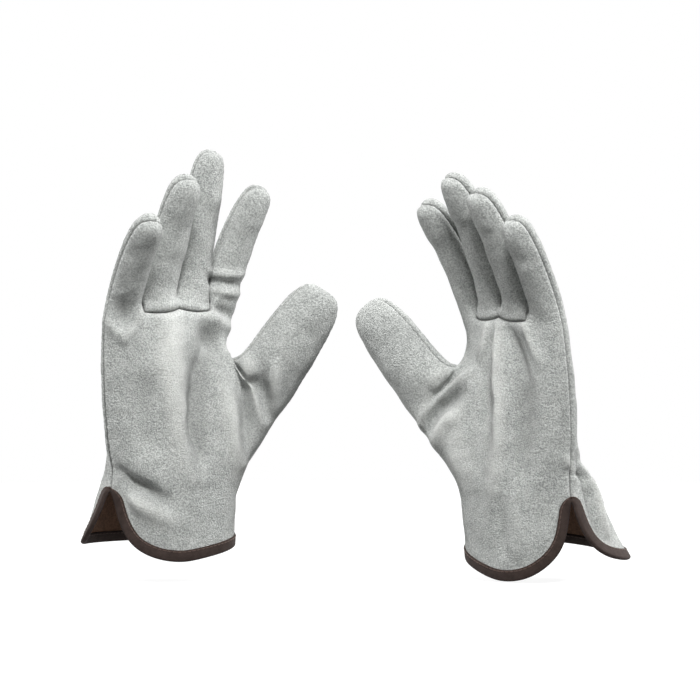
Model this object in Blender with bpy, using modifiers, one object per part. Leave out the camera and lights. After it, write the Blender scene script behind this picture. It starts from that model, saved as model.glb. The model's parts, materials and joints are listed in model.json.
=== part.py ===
"""A pair of split-leather welding gloves with a slit, bound cuff, standing as a hand fills them.

Each glove is drawn as one coarse cage, smoothed once, and cut along its seams into leather panels.
The binding, the wrist elastic and the sewing threads follow the edges and seams of the same surface.
All sizes are in metres and all angles in degrees. The hand frame has +Z to the fingertips, the palm
towards -Y and the thumb towards +X; the left glove is the mirror image of that frame.
"""

import math
from collections import namedtuple

import bmesh
import bpy
from mathutils import Matrix, Vector

# Leather and sewing
LEATHER = 0.0012  # thickness of the split leather
SEAM_GAP = 0.0009  # space between two panels along a seam
CLEARANCE = 0.0005  # space between a panel and what is sewn to it
SEAM_THREAD_RADIUS = 0.0004
TOP_THREAD_RADIUS = 0.00035
THREAD_END_MARGIN = 0.003  # how far a seam's thread stops short of the seam's ends

# Brown tape folded over the edge of the cuff
BINDING_WIDTH = 0.0058
BINDING_THICKNESS = 0.0008
BINDING_STITCH_INSET = 0.0012  # from the tape's upper edge to its row of stitches

# Elastic tape sewn inside the back of the wrist
ELASTIC_WIDTH = 0.008
ELASTIC_THICKNESS = 0.001

# Heights of the hand above the cuff's edge
SLIT_LENGTH = 0.050
WRIST_HEIGHT = 0.061
THUMB_ROOT_HEIGHT = 0.077
WEB_HEIGHT = 0.121
FINGER_BASE_HEIGHT = 0.1495
CROTCH_RISE = 0.004  # how much higher a crotch is between two fingers than at their fronts and backs
KNUCKLE_ARCH = 0.005  # how much lower the outer fingers start than the middle ones
HEM_RISE = 0.009  # how much the cuff's edge at the back and sides stands above the mouth's middle
HEM_SLANT = 0.6  # how much more of its dip the palm's edge has towards the little finger's side

# The slit: what share of the back's flare each row takes, from the hem to the slit's top
FLARE_SHARES = (1.0, 0.75, 0.4)
EDGE_CROWDING = 1.35  # keeps the columns beside the slit wider apart than the next ones
CORNER_RISE = 0.007  # the palm's corner is cut away to a curve

# Half sizes of the hand's sections: ulnar and radial half widths, palm and back depths, and the slope of
# the knuckle line, which carries the index finger further back than the little finger.
Section = namedtuple("Section", "ulnar radial palm back slope")
HEM_SECTION = Section(0.039, 0.036, 0.029, 0.038, 0.0)
CUFF_SECTION = Section(0.040, 0.037, 0.029, 0.033, 0.0)
SLIT_SECTION = Section(0.041, 0.039, 0.028, 0.027, 0.0)
WRIST_SECTION = Section(0.0425, 0.043, 0.026, 0.020, 0.0)
THUMB_LOW_SECTION = Section(0.045, 0.046, 0.025, 0.021, 0.02)
THUMB_MID_SECTION = Section(0.047, 0.046, 0.023, 0.021, 0.06)
WEB_SECTION = Section(0.049, 0.030, 0.019, 0.018, 0.12)
KNUCKLE_SECTION = Section(0.0495, 0.0405, 0.0135, 0.0135, 0.17)
PALM_SQUARENESS = 0.8  # 1 is an ellipse, less is boxier
DIVISION_SHIFTS = (0.0015, 0.0025, 0.0005)  # how far each crotch lies towards the little finger's side

# Digits: length from the base to the tip, half width and half depth near the base
Digit = namedtuple("Digit", "length half_width half_depth")
FINGERS = {
    "little": Digit(0.069, 0.0098, 0.0095),
    "ring": Digit(0.085, 0.0106, 0.0104),
    "middle": Digit(0.095, 0.0108, 0.0106),
    "index": Digit(0.081, 0.0104, 0.0105),
}
THUMB = Digit(0.080, 0.0175, 0.0130)
THUMB_BASE = Vector((0.0420, -0.016, 0.092))  # where the thumb's centre line starts
THUMB_ROLL = 0.0

# The ball of the thumb: how far it carries the palm's last column, the side and the back's first column
# outward and palmward, at the wrist, at the thumb's root, at its middle and at the web
THENAR_OUT = (0.004, 0.008, 0.004, 0.0)
THENAR_PALMWARD = (0.008, 0.015, 0.013, 0.002)

# Stations along a digit, as shares of its length, and the share of its full section there
FINGER_STATIONS = ((0.16, 1.0), (0.42, 1.0), (0.68, 0.97), (0.90, 0.88), (1.01, 0.60))
THUMB_STATIONS = ((0.20, 1.14), (0.44, 1.10), (0.68, 1.03), (0.88, 0.92), (1.01, 0.60))
CURVE_STEPS = 24  # steps for following a digit's curved centre line

# How each hand holds its digits: base flex, curl over the length, splay towards the thumb at the base, and
# sweep towards the thumb over the length
Pose = namedtuple("Pose", "flex curl splay sweep")
RIGHT_POSE = {
    "little": Pose(24.0, 28.0, 1.0, 0.0),
    "ring": Pose(14.0, 26.0, 3.4, 0.0),
    "middle": Pose(6.0, 14.0, 3.8, 0.0),
    "index": Pose(9.5, 22.0, 6.0, 12.0),
    "thumb": Pose(17.0, 0.5, 29.5, 0.0),
}
LEFT_POSE = {
    "little": Pose(20.5, 14.5, -3.5, 0.0),
    "ring": Pose(17.5, 22.5, -4.0, 0.0),
    "middle": Pose(15.5, 24.0, -4.5, 0.0),
    "index": Pose(14.0, 28.0, 0.0, 3.0),
    "thumb": Pose(12.5, 0.5, 34.0, 0.0),
}


# How each cuff hangs: how far the back's corner swings out at the hem, how far the palm's edge dips, how far
# round the section from the hand's edge the palm's and the back's sides of the slit lie, for the rows from the
# hem up, and how far the back's corner is cut away to a curve
Cuff = namedtuple("Cuff", "flare dip palm_edge back_edge back_corner")
RIGHT_CUFF = Cuff(Vector((-0.015, 0.002, 0.0)), 0.008, (33.0, 18.0, 9.0), (12.0, -14.0), 0.0)
LEFT_CUFF = Cuff(Vector((-0.018, 0.021, -0.006)), 0.013, (16.0, 6.0, 4.0), (-10.0, -18.0), 0.006)

# Where the gloves stand: the right cuff's mouth is at the origin
RIGHT_YAW = 28.0
LEFT_YAW = -45.4
LEFT_PITCH = 4.7
LEFT_PLACE = Vector((0.209, 0.0, -0.0034))
HINGE_PROUD = 0.0006  # how far a finger's crease axis stands in front of the leather
THUMB_HINGE_PROUD = 0.0035

# Topology of the cage
HAND_SIDES = 12
FINGER_SIDES = 6
THUMB_SIDES = 8
SMOOTH_LEVEL = 1
RADIAL_COLUMN = 5
ULNAR_COLUMN = 11
FRONT_SEGMENTS = (11, 0, 1, 2, 3, 4)
SLIT_ROW, WRIST_ROW, THUMB_LOW_ROW, THUMB_MID_ROW, WEB_ROW = 2, 3, 4, 5, 6
DIGIT_NAMES = (*FINGERS, "thumb")
PANELS = ("palm", "back", *(f"{digit}_{face}" for digit in DIGIT_NAMES for face in ("front", "back")))

# Colours and finishes
LEATHER_COLOUR = (0.50, 0.52, 0.50, 1.0)
BINDING_COLOUR = (0.045, 0.028, 0.022, 1.0)
THREAD_COLOUR = (0.42, 0.43, 0.41, 1.0)
ELASTIC_COLOUR = (0.72, 0.71, 0.67, 1.0)


def limit_share(sides):
    """How far out the smoothed surface lies, as a share of a regular cage section of that many sides."""
    return (2.0 + math.cos(2.0 * math.pi / sides)) / 3.0


def edge_between(bm, first, second):
    """The edge of two vertices, made if it isn't there."""
    return bm.edges.get((first, second)) or bm.edges.new((first, second))


def ring_edges(bm, ring):
    """The edges of a closed ring of vertices, in order."""
    return [edge_between(bm, ring[i - 1], ring[i]) for i in range(1, len(ring))] + [
        edge_between(bm, ring[-1], ring[0])
    ]


def extrude_ring(bm, ring, points):
    """Extrudes a closed ring onto new points. Gives the new ring and its faces, in order."""
    made = bmesh.ops.extrude_edge_only(bm, edges=ring_edges(bm, ring))["geom"]
    fresh = {item for item in made if isinstance(item, bmesh.types.BMVert)}
    new_ring = []
    for vert, point in zip(ring, points):
        new_vert = next(e.other_vert(vert) for e in vert.link_edges if e.other_vert(vert) in fresh)
        new_vert.co = point
        new_ring.append(new_vert)
    faces = []
    for i, vert in enumerate(ring):
        following = ring[(i + 1) % len(ring)]
        shared = set(vert.link_faces) & set(following.link_faces) & set(new_ring[i].link_faces)
        faces.append(shared.pop())
    return new_ring, faces


# The hand: rows of twelve points from the cuff's edge to the finger bases


def section_point(section, turn, height):
    """A cage point of a hand section, at an angle round it from the thumb's side by the back."""
    turn = math.radians(turn)
    swell = 1.0 / limit_share(HAND_SIDES)
    half_width = section.radial if math.cos(turn) > 0.0 else section.ulnar
    depth = section.palm if math.sin(turn) < 0.0 else section.back
    x = half_width * math.cos(turn) * swell
    bulge = math.copysign(abs(math.sin(turn)) ** PALM_SQUARENESS, math.sin(turn))
    return Vector((x, section.slope * x + depth * bulge * swell, height))


def column_turn(column, palm_edge):
    """The angle of a column. The palm's columns beside the slit are drawn together towards the palm."""
    if column == ULNAR_COLUMN or column < 2:
        steps = 2 - (column - HAND_SIDES if column == ULNAR_COLUMN else column)
        return -90.0 - (90.0 - palm_edge) * (steps / 3.0) ** (EDGE_CROWDING if palm_edge else 1.0)
    return 30.0 * column - 150.0


def hand_rows(cuff):
    """The cage points of every row of the hand."""
    thumb_middle = (THUMB_ROOT_HEIGHT + WEB_HEIGHT) / 2.0
    levels = (
        (HEM_SECTION, HEM_RISE),
        (CUFF_SECTION, SLIT_LENGTH / 2.0),
        (SLIT_SECTION, SLIT_LENGTH),
        (WRIST_SECTION, WRIST_HEIGHT),
        (THUMB_LOW_SECTION, THUMB_ROOT_HEIGHT),
        (THUMB_MID_SECTION, thumb_middle),
        (WEB_SECTION, WEB_HEIGHT),
        (KNUCKLE_SECTION, FINGER_BASE_HEIGHT),
    )
    rows = []
    for row, (section, height) in enumerate(levels):
        palm_edge = cuff.palm_edge[row] if row <= SLIT_ROW else 0.0
        turns = [column_turn(k, palm_edge) for k in range(HAND_SIDES)]
        rows.append([section_point(section, turn, height) for turn in turns])
    for point in rows[0]:
        slant = 1.0 - HEM_SLANT * point.x / HEM_SECTION.radial
        point.z -= cuff.dip * max(0.0, -point.y / HEM_SECTION.palm) * slant
    for point in rows[-1]:
        point.z -= KNUCKLE_ARCH * (point.x / KNUCKLE_SECTION.radial) ** 2
    for i, shift in enumerate(DIVISION_SHIFTS, start=1):
        rows[-1][i].x -= shift
        rows[-1][2 * RADIAL_COLUMN - i].x -= shift
    for row, share in zip(rows, FLARE_SHARES):
        for column, part in ((ULNAR_COLUMN - 1, 1.0), (ULNAR_COLUMN - 2, 0.5), (ULNAR_COLUMN - 3, 0.2)):
            row[column] += cuff.flare * share * part
    rows[0][ULNAR_COLUMN].z += CORNER_RISE
    rows[0][0].z += CORNER_RISE / 3.0
    for row, out, palmward in zip(rows[WRIST_ROW:], THENAR_OUT, THENAR_PALMWARD):
        for column in (RADIAL_COLUMN - 1, RADIAL_COLUMN, RADIAL_COLUMN + 1):
            row[column] += Vector((out, -palmward, 0.0))
    return rows


def open_slit(bm, column, cuff):
    """Parts the little finger's side of the cuff up to the slit's top, and swings the back's edge out."""
    cut = [edge_between(bm, column[row], column[row + 1]) for row in range(SLIT_ROW)]
    parted = bmesh.ops.split_edges(bm, edges=cut)["edges"]
    back = PANELS.index("back")
    ends = {v for edge in parted for v in edge.verts if len(v.link_faces) < 3}
    for vert in (v for v in ends if v.link_faces[0].material_index == back):
        row = 0 if vert.co.z < SLIT_LENGTH / 3.0 else 1
        section, height = (HEM_SECTION, HEM_RISE) if row == 0 else (CUFF_SECTION, vert.co.z)
        vert.co = section_point(section, 180.0 - cuff.back_edge[row], height) + cuff.flare * FLARE_SHARES[row]
        vert.co.z += cuff.back_corner if row == 0 else 0.0


# Digits: rings carried along a curved centre line


def centre_line(base, digit, pose, share):
    """The centre of a digit at a share of its length, with its lateral, depth and axis directions there."""
    centre = base.copy()
    for step in range(CURVE_STEPS + 1):
        along = share * step / CURVE_STEPS
        splay = math.radians(pose.splay + pose.sweep * along)
        flex = math.radians(pose.flex + pose.curl * along)
        lateral = Vector((math.cos(splay), 0.0, -math.sin(splay)))
        axis = Vector((math.sin(splay) * math.cos(flex), -math.sin(flex), math.cos(splay) * math.cos(flex)))
        if step:
            centre += axis * digit.length * share / CURVE_STEPS
    return centre, lateral, axis.cross(lateral), axis


def digit_ring(base, digit, pose, station, sides, roll=0.0):
    """The cage points of a digit's section, from its lateral side round by its front."""
    share, scale = station
    centre, lateral, depth, axis = centre_line(base, digit, pose, share)
    twist = Matrix.Rotation(math.radians(roll), 3, axis)
    swell = scale / limit_share(sides)
    points = []
    for k in range(sides):
        turn = -2.0 * math.pi * k / sides
        across = lateral * (digit.half_width * math.cos(turn))
        through = depth * (digit.half_depth * math.sin(turn))
        points.append(centre + twist @ (across + through) * swell)
    return points


def grow_digit(bm, name, ring, rings):
    """Extrudes a digit from its base ring through its rings, and closes its tip along the seam."""
    front, back = PANELS.index(f"{name}_front"), PANELS.index(f"{name}_back")
    half = len(ring) // 2
    for points in rings:
        ring, faces = extrude_ring(bm, ring, points)
        for k, face in enumerate(faces):
            face.material_index = front if k < half else back
    outer, inner = ring[0], ring[half]
    if half % 2:
        caps = [(ring[: half + 1], front), ([*ring[half:], outer], back)]
    else:
        middle = bm.verts.new((outer.co + inner.co) / 2.0)
        quarter = half // 2
        caps = [
            ([*ring[: quarter + 1], middle], front),
            ([*ring[quarter : half + 1], middle], front),
            ([*ring[half : half + quarter + 1], middle], back),
            ([*ring[half + quarter :], outer, middle], back),
        ]
    for corners, panel in caps:
        bm.faces.new(corners).material_index = panel


def finger_base(left_x, right_x):
    """The centre of a finger's base between two of the hand's columns."""
    x = (left_x + right_x) / 2.0
    arch = KNUCKLE_ARCH * (x / KNUCKLE_SECTION.radial) ** 2
    return Vector((x, KNUCKLE_SECTION.slope * x, FINGER_BASE_HEIGHT - arch))


def finger_bases():
    """The centre of every finger's base, halfway between its two crotches or edges."""
    edges = [
        -KNUCKLE_SECTION.ulnar,
        -KNUCKLE_SECTION.ulnar / 2.0 - DIVISION_SHIFTS[0],
        -DIVISION_SHIFTS[1],
        KNUCKLE_SECTION.radial / 2.0 - DIVISION_SHIFTS[2],
        KNUCKLE_SECTION.radial,
    ]
    return {name: finger_base(edges[i], edges[i + 1]) for i, name in enumerate(FINGERS)}


def grow_fingers(bm, top, pose):
    """Divides the hand's top ring by the finger crotches and grows the four fingers from it."""
    fronts, backs = top[0:5], [top[10 - i] for i in range(5)]
    crotches = [top[ULNAR_COLUMN]]
    for i in (1, 2, 3):
        middle = (fronts[i].co + backs[i].co) / 2.0
        crotches.append(bm.verts.new(middle + Vector((0.0, 0.0, CROTCH_RISE))))
    crotches.append(top[RADIAL_COLUMN])
    bases = finger_bases()
    for i, (name, digit) in enumerate(FINGERS.items()):
        ring = [crotches[i + 1], fronts[i + 1], fronts[i], crotches[i], backs[i], backs[i + 1]]
        rings = [digit_ring(bases[name], digit, pose[name], s, FINGER_SIDES) for s in FINGER_STATIONS]
        grow_digit(bm, name, ring, rings)


def grow_thumb(bm, rows, pose):
    """Opens the hand's thumb side between the thumb's root and the web, and grows the thumb from it."""
    palm_column, side, back_column = RADIAL_COLUMN - 1, RADIAL_COLUMN, RADIAL_COLUMN + 1
    opened = rows[THUMB_MID_ROW][side].link_faces[:]
    climb = (THUMB_LOW_ROW, THUMB_MID_ROW, WEB_ROW)
    ring = [rows[THUMB_LOW_ROW][side], *(rows[r][palm_column] for r in climb)]
    ring += [rows[WEB_ROW][side], *(rows[r][back_column] for r in reversed(climb))]
    bmesh.ops.delete(bm, geom=opened, context="FACES")
    rings = [digit_ring(THUMB_BASE, THUMB, pose, s, THUMB_SIDES, THUMB_ROLL) for s in THUMB_STATIONS]
    grow_digit(bm, "thumb", ring, rings)


def glove_cage(pose, cuff):
    """The coarse cage of a right glove, with the wrist's gathered line marked as seam edges."""
    bm = bmesh.new()
    rows_points = hand_rows(cuff)
    ring = bmesh.ops.create_circle(bm, segments=HAND_SIDES, radius=1.0)["verts"]
    for vert, point in zip(ring, rows_points[0]):
        vert.co = point
    rows = [ring]
    palm, back = PANELS.index("palm"), PANELS.index("back")
    for points in rows_points[1:]:
        ring, faces = extrude_ring(bm, ring, points)
        rows.append(ring)
        for k, face in enumerate(faces):
            face.material_index = palm if k in FRONT_SEGMENTS else back
    wrist = rows[WRIST_ROW][RADIAL_COLUMN + 1 : ULNAR_COLUMN]
    for first, second in zip(wrist, wrist[1:]):
        edge_between(bm, first, second).seam = True
    grow_thumb(bm, rows, pose["thumb"])
    grow_fingers(bm, rows[-1], pose)
    open_slit(bm, [row[ULNAR_COLUMN] for row in rows], cuff)
    bmesh.ops.recalc_face_normals(bm, faces=bm.faces)
    return bm


def glove_shell(pose, cuff, mirrored):
    """The smoothed outer surface of a glove, with the way into the leather stored on each vertex."""
    cage = glove_cage(pose, cuff)
    if mirrored:
        bmesh.ops.scale(cage, vec=(-1.0, 1.0, 1.0), verts=cage.verts)
        bmesh.ops.reverse_faces(cage, faces=cage.faces)
    mesh = bpy.data.meshes.new("cage")
    cage.to_mesh(mesh)
    cage.free()
    holder = bpy.data.objects.new("cage", mesh)
    bpy.context.scene.collection.objects.link(holder)
    smooth = holder.modifiers.new("smooth", "SUBSURF")
    smooth.levels = smooth.render_levels = SMOOTH_LEVEL
    graph = bpy.context.evaluated_depsgraph_get()
    fine = bpy.data.meshes.new_from_object(holder.evaluated_get(graph))
    bpy.data.objects.remove(holder)
    shell = bmesh.new()
    shell.from_mesh(fine)
    bmesh.ops.inset_region(shell, faces=shell.faces[:], thickness=BINDING_WIDTH, use_boundary=True)
    shell.normal_update()
    inward = shell.verts.layers.float_vector.new("inward")
    for vert in shell.verts:
        vert[inward] = -vert.normal
    return shell


# Panels


def into_face(edge):
    """The direction in the surface from a rim edge into its only face."""
    face = edge.link_faces[0]
    along = (edge.verts[1].co - edge.verts[0].co).normalized()
    middle = (edge.verts[0].co + edge.verts[1].co) / 2.0
    across = face.calc_center_median() - middle
    return (across - along * across.dot(along)).normalized()


def draw_back_rim(bm, distance):
    """Moves a panel's rim into the panel by an even distance."""
    moves = {}
    for vert in bm.verts:
        sides = [into_face(edge) for edge in vert.link_edges if edge.is_boundary]
        if len(sides) == 2:
            moves[vert] = distance * (sides[0] + sides[1]) / (1.0 + sides[0].dot(sides[1]))
    for vert, move in moves.items():
        vert.co += move


def panel_solid(shell, panel):
    """One leather panel as a closed solid, cut from the shell along its seams."""
    bm = shell.copy()
    index = PANELS.index(panel)
    others = [face for face in bm.faces if face.material_index != index]
    bmesh.ops.delete(bm, geom=others, context="FACES")
    draw_back_rim(bm, SEAM_GAP / 2.0)
    inward = bm.verts.layers.float_vector["inward"]
    made = bmesh.ops.extrude_face_region(bm, geom=bm.faces[:], use_keep_orig=True)["geom"]
    for item in made:
        if isinstance(item, bmesh.types.BMVert):
            item.co += LEATHER * item[inward]
    bmesh.ops.recalc_face_normals(bm, faces=bm.faces)
    for face in bm.faces:
        face.material_index = 0
    return bm


# Chains of vertices along the seams and the cuff's edge


def chains(edges):
    """Joins edges end to end into ordered chains of vertices. A closed chain starts anywhere."""
    links = {}
    for edge in edges:
        for vert in edge.verts:
            links.setdefault(vert, []).append(edge.other_vert(vert))
    found = []
    left = dict(links)
    while left:
        start = next((v for v in left if len(links[v]) == 1), next(iter(left)))
        chain = [start]
        del left[start]
        while True:
            following = next((v for v in links[chain[-1]] if v in left), None)
            if following is None:
                break
            chain.append(following)
            del left[following]
        found.append(chain)
    return found


def seam_chains(shell, first, second):
    """The chains of vertices where a panel of the first group meets one of the second."""
    pair = ({PANELS.index(name) for name in first}, {PANELS.index(name) for name in second})
    edges = []
    for edge in shell.edges:
        if len(edge.link_faces) == 2:
            a, b = (face.material_index for face in edge.link_faces)
            if (a in pair[0] and b in pair[1]) or (b in pair[0] and a in pair[1]):
                edges.append(edge)
    return chains(edges)


def trimmed(points, margin):
    """A run of points with that much of its length taken off both ends."""
    for _ in range(2):
        cut = margin
        while cut > (points[1] - points[0]).length:
            cut -= (points[1] - points[0]).length
            points = points[1:]
        points = [points[0] + (points[1] - points[0]).normalized() * cut, *points[1:]]
        points = points[::-1]
    return points


def neighbours(vert):
    return [edge.other_vert(vert) for edge in vert.link_edges]


def beside_edge(vert):
    """The vertex that lies a binding's width inside the cuff's edge from one of the edge's vertices."""
    return next(e.other_vert(vert) for e in vert.link_edges if not e.is_boundary)


def thread(name, points, radius, closed=False):
    """A sewing thread as a fine tube through points."""
    curve = bpy.data.curves.new(name, "CURVE")
    curve.dimensions = "3D"
    curve.bevel_depth = radius
    curve.bevel_resolution = 0
    curve.use_fill_caps = True
    spline = curve.splines.new("POLY")
    spline.points.add(len(points) - 1)
    for slot, point in zip(spline.points, points):
        slot.co = (*point, 1.0)
    spline.use_cyclic_u = closed
    return bpy.data.objects.new(name, curve)


def seam_thread(shell, name, chain, margin=THREAD_END_MARGIN):
    """The thread that closes a seam, lying just inside the leather."""
    inward = shell.verts.layers.float_vector["inward"]
    depth = LEATHER + CLEARANCE + SEAM_THREAD_RADIUS
    points = [vert.co + vert[inward] * depth for vert in chain]
    return thread(name, trimmed(points, margin), SEAM_THREAD_RADIUS)


def swept_solid(sections, closed):
    """A solid whose section is carried along a chain. Each section is a list of points."""
    bm = bmesh.new()
    first = [bm.verts.new(point) for point in sections[0]]
    ring = first
    for points in sections[1:]:
        ring, _ = extrude_ring(bm, ring, points)
    if closed:
        bmesh.ops.bridge_loops(bm, edges=ring_edges(bm, ring) + ring_edges(bm, first))
    else:
        bm.faces.new(first)
        bm.faces.new(ring)
    bmesh.ops.recalc_face_normals(bm, faces=bm.faces)
    return bm


def cuff_edge(shell):
    """The cuff's edge, hem and slit together, as one closed chain."""
    return chains([edge for edge in shell.edges if edge.is_boundary])[0]


def binding(shell, edge):
    """The tape folded over the cuff's edge: a narrow U that wraps the leather's rim."""
    inward = shell.verts.layers.float_vector["inward"]
    outer = -CLEARANCE
    inner = LEATHER + CLEARANCE
    wall = BINDING_THICKNESS
    sections = []
    for vert in edge:
        beside = beside_edge(vert)
        fold = (vert.co - beside.co).normalized()
        lip = vert.co + fold * CLEARANCE
        nose = vert.co + fold * (CLEARANCE + wall)
        sections.append(
            [
                beside.co + beside[inward] * outer,
                beside.co + beside[inward] * (outer - wall),
                nose + vert[inward] * (outer - wall),
                nose + vert[inward] * (inner + wall),
                beside.co + beside[inward] * (inner + wall),
                beside.co + beside[inward] * inner,
                lip + vert[inward] * inner,
                lip + vert[inward] * outer,
            ]
        )
    return swept_solid(sections, closed=True)


def binding_thread(shell, name, edge):
    """The row of stitches round the binding's upper edge."""
    inward = shell.verts.layers.float_vector["inward"]
    out = CLEARANCE + BINDING_THICKNESS + CLEARANCE + TOP_THREAD_RADIUS
    share = BINDING_STITCH_INSET / BINDING_WIDTH
    points = []
    for vert in edge:
        beside = beside_edge(vert)
        way_in = beside[inward].lerp(vert[inward], share)
        points.append(beside.co.lerp(vert.co, share) - way_in * out)
    return thread(name, points, TOP_THREAD_RADIUS, closed=True)


def wrist_elastic(shell, line):
    """The elastic tape inside the back of the wrist."""
    inward = shell.verts.layers.float_vector["inward"]
    near = LEATHER + CLEARANCE
    far = near + ELASTIC_THICKNESS
    half = ELASTIC_WIDTH / 2.0
    profile = ((half, near), (half, far), (-half, far), (-half, near))
    ring = set(line)
    sections = []
    for vert in line:
        beside = sorted((v.co for v in neighbours(vert) if v not in ring), key=lambda co: co.z)
        up = (beside[-1] - beside[0]).normalized()
        sections.append([vert.co + up * along + vert[inward] * depth for along, depth in profile])
    return swept_solid(sections, closed=False)


def elastic_thread(shell, name, line):
    """The stitches that hold the elastic, on the outside of the back."""
    inward = shell.verts.layers.float_vector["inward"]
    out = CLEARANCE + TOP_THREAD_RADIUS
    return thread(name, [vert.co - vert[inward] * out for vert in line], TOP_THREAD_RADIUS)


# Hinges: each digit folds at the crease on its palm side


def finger_hinge(shell, name, pose, sign):
    """A point on a finger's crease and the direction that it folds about."""
    _, lateral, depth, _ = centre_line(finger_bases()[name], FINGERS[name], pose, 0.0)
    lateral.x *= sign
    depth.x *= sign
    rim = [v.co for chain in seam_chains(shell, ("palm",), (f"{name}_front",)) for v in chain]
    foremost = min(rim, key=lambda co: co.dot(depth))
    middle = sum(rim, Vector()) / len(rim)
    middle -= depth * (middle - foremost).dot(depth)
    return middle - depth * HINGE_PROUD, lateral * sign


def thumb_hinge(shell):
    """A point on the thumb's crease and the direction that it folds about, which points to the wrist."""
    rim = [v for chain in seam_chains(shell, ("palm",), ("thumb_front",)) for v in chain]
    low, high = min(rim, key=lambda v: v.co.z), max(rim, key=lambda v: v.co.z)
    axis = (low.co - high.co).normalized()
    outward = sum((v.normal for v in rim), Vector())
    outward = (outward - axis * outward.dot(axis)).normalized()
    middle = (low.co + high.co) / 2.0
    proud = max((v.co - middle).dot(outward) for v in rim) + THUMB_HINGE_PROUD
    return middle + outward * proud, axis


def hinge_empty(name, place, axis, parent):
    """An empty on a hinge, with its X axis along the hinge."""
    empty = bpy.data.objects.new(name, None)
    empty.location = place
    empty.rotation_mode = "QUATERNION"
    empty.rotation_quaternion = axis.to_track_quat("X", "Z")
    empty.parent = parent
    return empty


# Materials and assembly


def material(name, colour, roughness):
    made = bpy.data.materials.new(name)
    made.use_nodes = True
    shader = made.node_tree.nodes["Principled BSDF"]
    shader.inputs["Base Color"].default_value = colour
    shader.inputs["Roughness"].default_value = roughness
    shader.inputs["Metallic"].default_value = 0.0
    return made


def clear_scene():
    for obj in list(bpy.data.objects):
        bpy.data.objects.remove(obj)


def mesh_object(name, bm):
    mesh = bpy.data.meshes.new(name)
    bm.to_mesh(mesh)
    bm.free()
    mesh.shade_smooth()
    return bpy.data.objects.new(name, mesh)


def build_glove(side, pose, cuff, sign, finishes, collection):
    """Builds one glove under an empty at its cuff's mouth, with each digit under its own hinge."""
    glove = bpy.data.objects.new(f"{side}_glove", None)
    collection.objects.link(glove)
    shell = glove_shell(pose, cuff, mirrored=sign < 0)
    carriers = {}
    for digit in DIGIT_NAMES:
        if digit == "thumb":
            place, axis = thumb_hinge(shell)
            axis *= sign
        else:
            place, axis = finger_hinge(shell, digit, pose[digit], sign)
        carriers[digit] = hinge_empty(f"{side}_{digit}_hinge", place, axis, glove)
        collection.objects.link(carriers[digit])

    def add(obj, finish, carrier):
        obj.data.materials.clear()
        obj.data.materials.append(finishes[finish])
        collection.objects.link(obj)
        obj.parent = carrier
        if carrier is not glove:
            rest = Matrix.LocRotScale(carrier.location, carrier.rotation_quaternion, None)
            obj.matrix_parent_inverse = rest.inverted()

    for panel in PANELS:
        carrier = carriers.get(panel.split("_")[0], glove)
        add(mesh_object(f"{side}_{panel}", panel_solid(shell, panel)), "leather", carrier)
    for digit in DIGIT_NAMES:
        chain = seam_chains(shell, (f"{digit}_front",), (f"{digit}_back",))[0]
        add(seam_thread(shell, f"{side}_{digit}_thread", chain), "thread", carriers[digit])
    for chain in seam_chains(shell, ("palm",), ("back",)):
        outer = sign * chain[0].co.x < 0.0
        low = min(v.co.z for v in chain) < THUMB_ROOT_HEIGHT - THREAD_END_MARGIN
        seam = "ulnar" if outer else ("radial" if low else "web")
        margin = THREAD_END_MARGIN + (0.0 if seam == "web" else BINDING_WIDTH)
        add(seam_thread(shell, f"{side}_{seam}_thread", chain, margin), "thread", glove)
    insert = seam_chains(shell, ("palm",), ("ring_front", "middle_front"))[0]
    add(seam_thread(shell, f"{side}_insert_thread", insert), "thread", glove)
    edge = cuff_edge(shell)
    add(mesh_object(f"{side}_cuff_binding", binding(shell, edge)), "binding", glove)
    add(binding_thread(shell, f"{side}_binding_thread", edge), "binding_thread", glove)
    line = chains([e for e in shell.edges if e.seam])[0]
    add(mesh_object(f"{side}_wrist_elastic", wrist_elastic(shell, line)), "elastic", glove)
    add(elastic_thread(shell, f"{side}_elastic_thread", line), "thread", glove)
    shell.free()
    return glove


def main():
    clear_scene()
    collection = bpy.data.collections.new("welding_gloves")
    bpy.context.scene.collection.children.link(collection)
    finishes = {
        "leather": material("split_leather", LEATHER_COLOUR, 0.95),
        "binding": material("brown_binding", BINDING_COLOUR, 0.7),
        "thread": material("grey_thread", THREAD_COLOUR, 0.8),
        "binding_thread": material("brown_thread", BINDING_COLOUR, 0.6),
        "elastic": material("white_elastic", ELASTIC_COLOUR, 0.85),
    }
    right = build_glove("right", RIGHT_POSE, RIGHT_CUFF, 1.0, finishes, collection)
    right.rotation_euler = (0.0, 0.0, math.radians(RIGHT_YAW))
    left = build_glove("left", LEFT_POSE, LEFT_CUFF, -1.0, finishes, collection)
    left.rotation_mode = "XYZ"
    left.rotation_euler = (math.radians(LEFT_PITCH), 0.0, math.radians(LEFT_YAW))
    left.location = LEFT_PLACE


main()
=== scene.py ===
"""The looks of a pair of split-leather welding gloves with a slit, bound cuff.

The file is laid out as an add-on and is run as a script. Each glove's leather is drawn from the same coarse
cage as its construction, smoothed finely, drawn in at its seams and folded as leather on a hand folds, and
then cut into the panels that it is sewn from. All sizes are in metres and all angles in degrees. The hand
frame has +Z to the fingertips, the palm towards -Y and the thumb towards +X; the left glove is the mirror
image of that frame.
"""

import json
import math
from collections import namedtuple
from functools import lru_cache

import bmesh
import bpy
import numpy as np
from bpy.props import FloatProperty, FloatVectorProperty, PointerProperty
from mathutils import Euler, Matrix, Vector, noise
from mathutils.bvhtree import BVHTree
from mathutils.kdtree import KDTree


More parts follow.
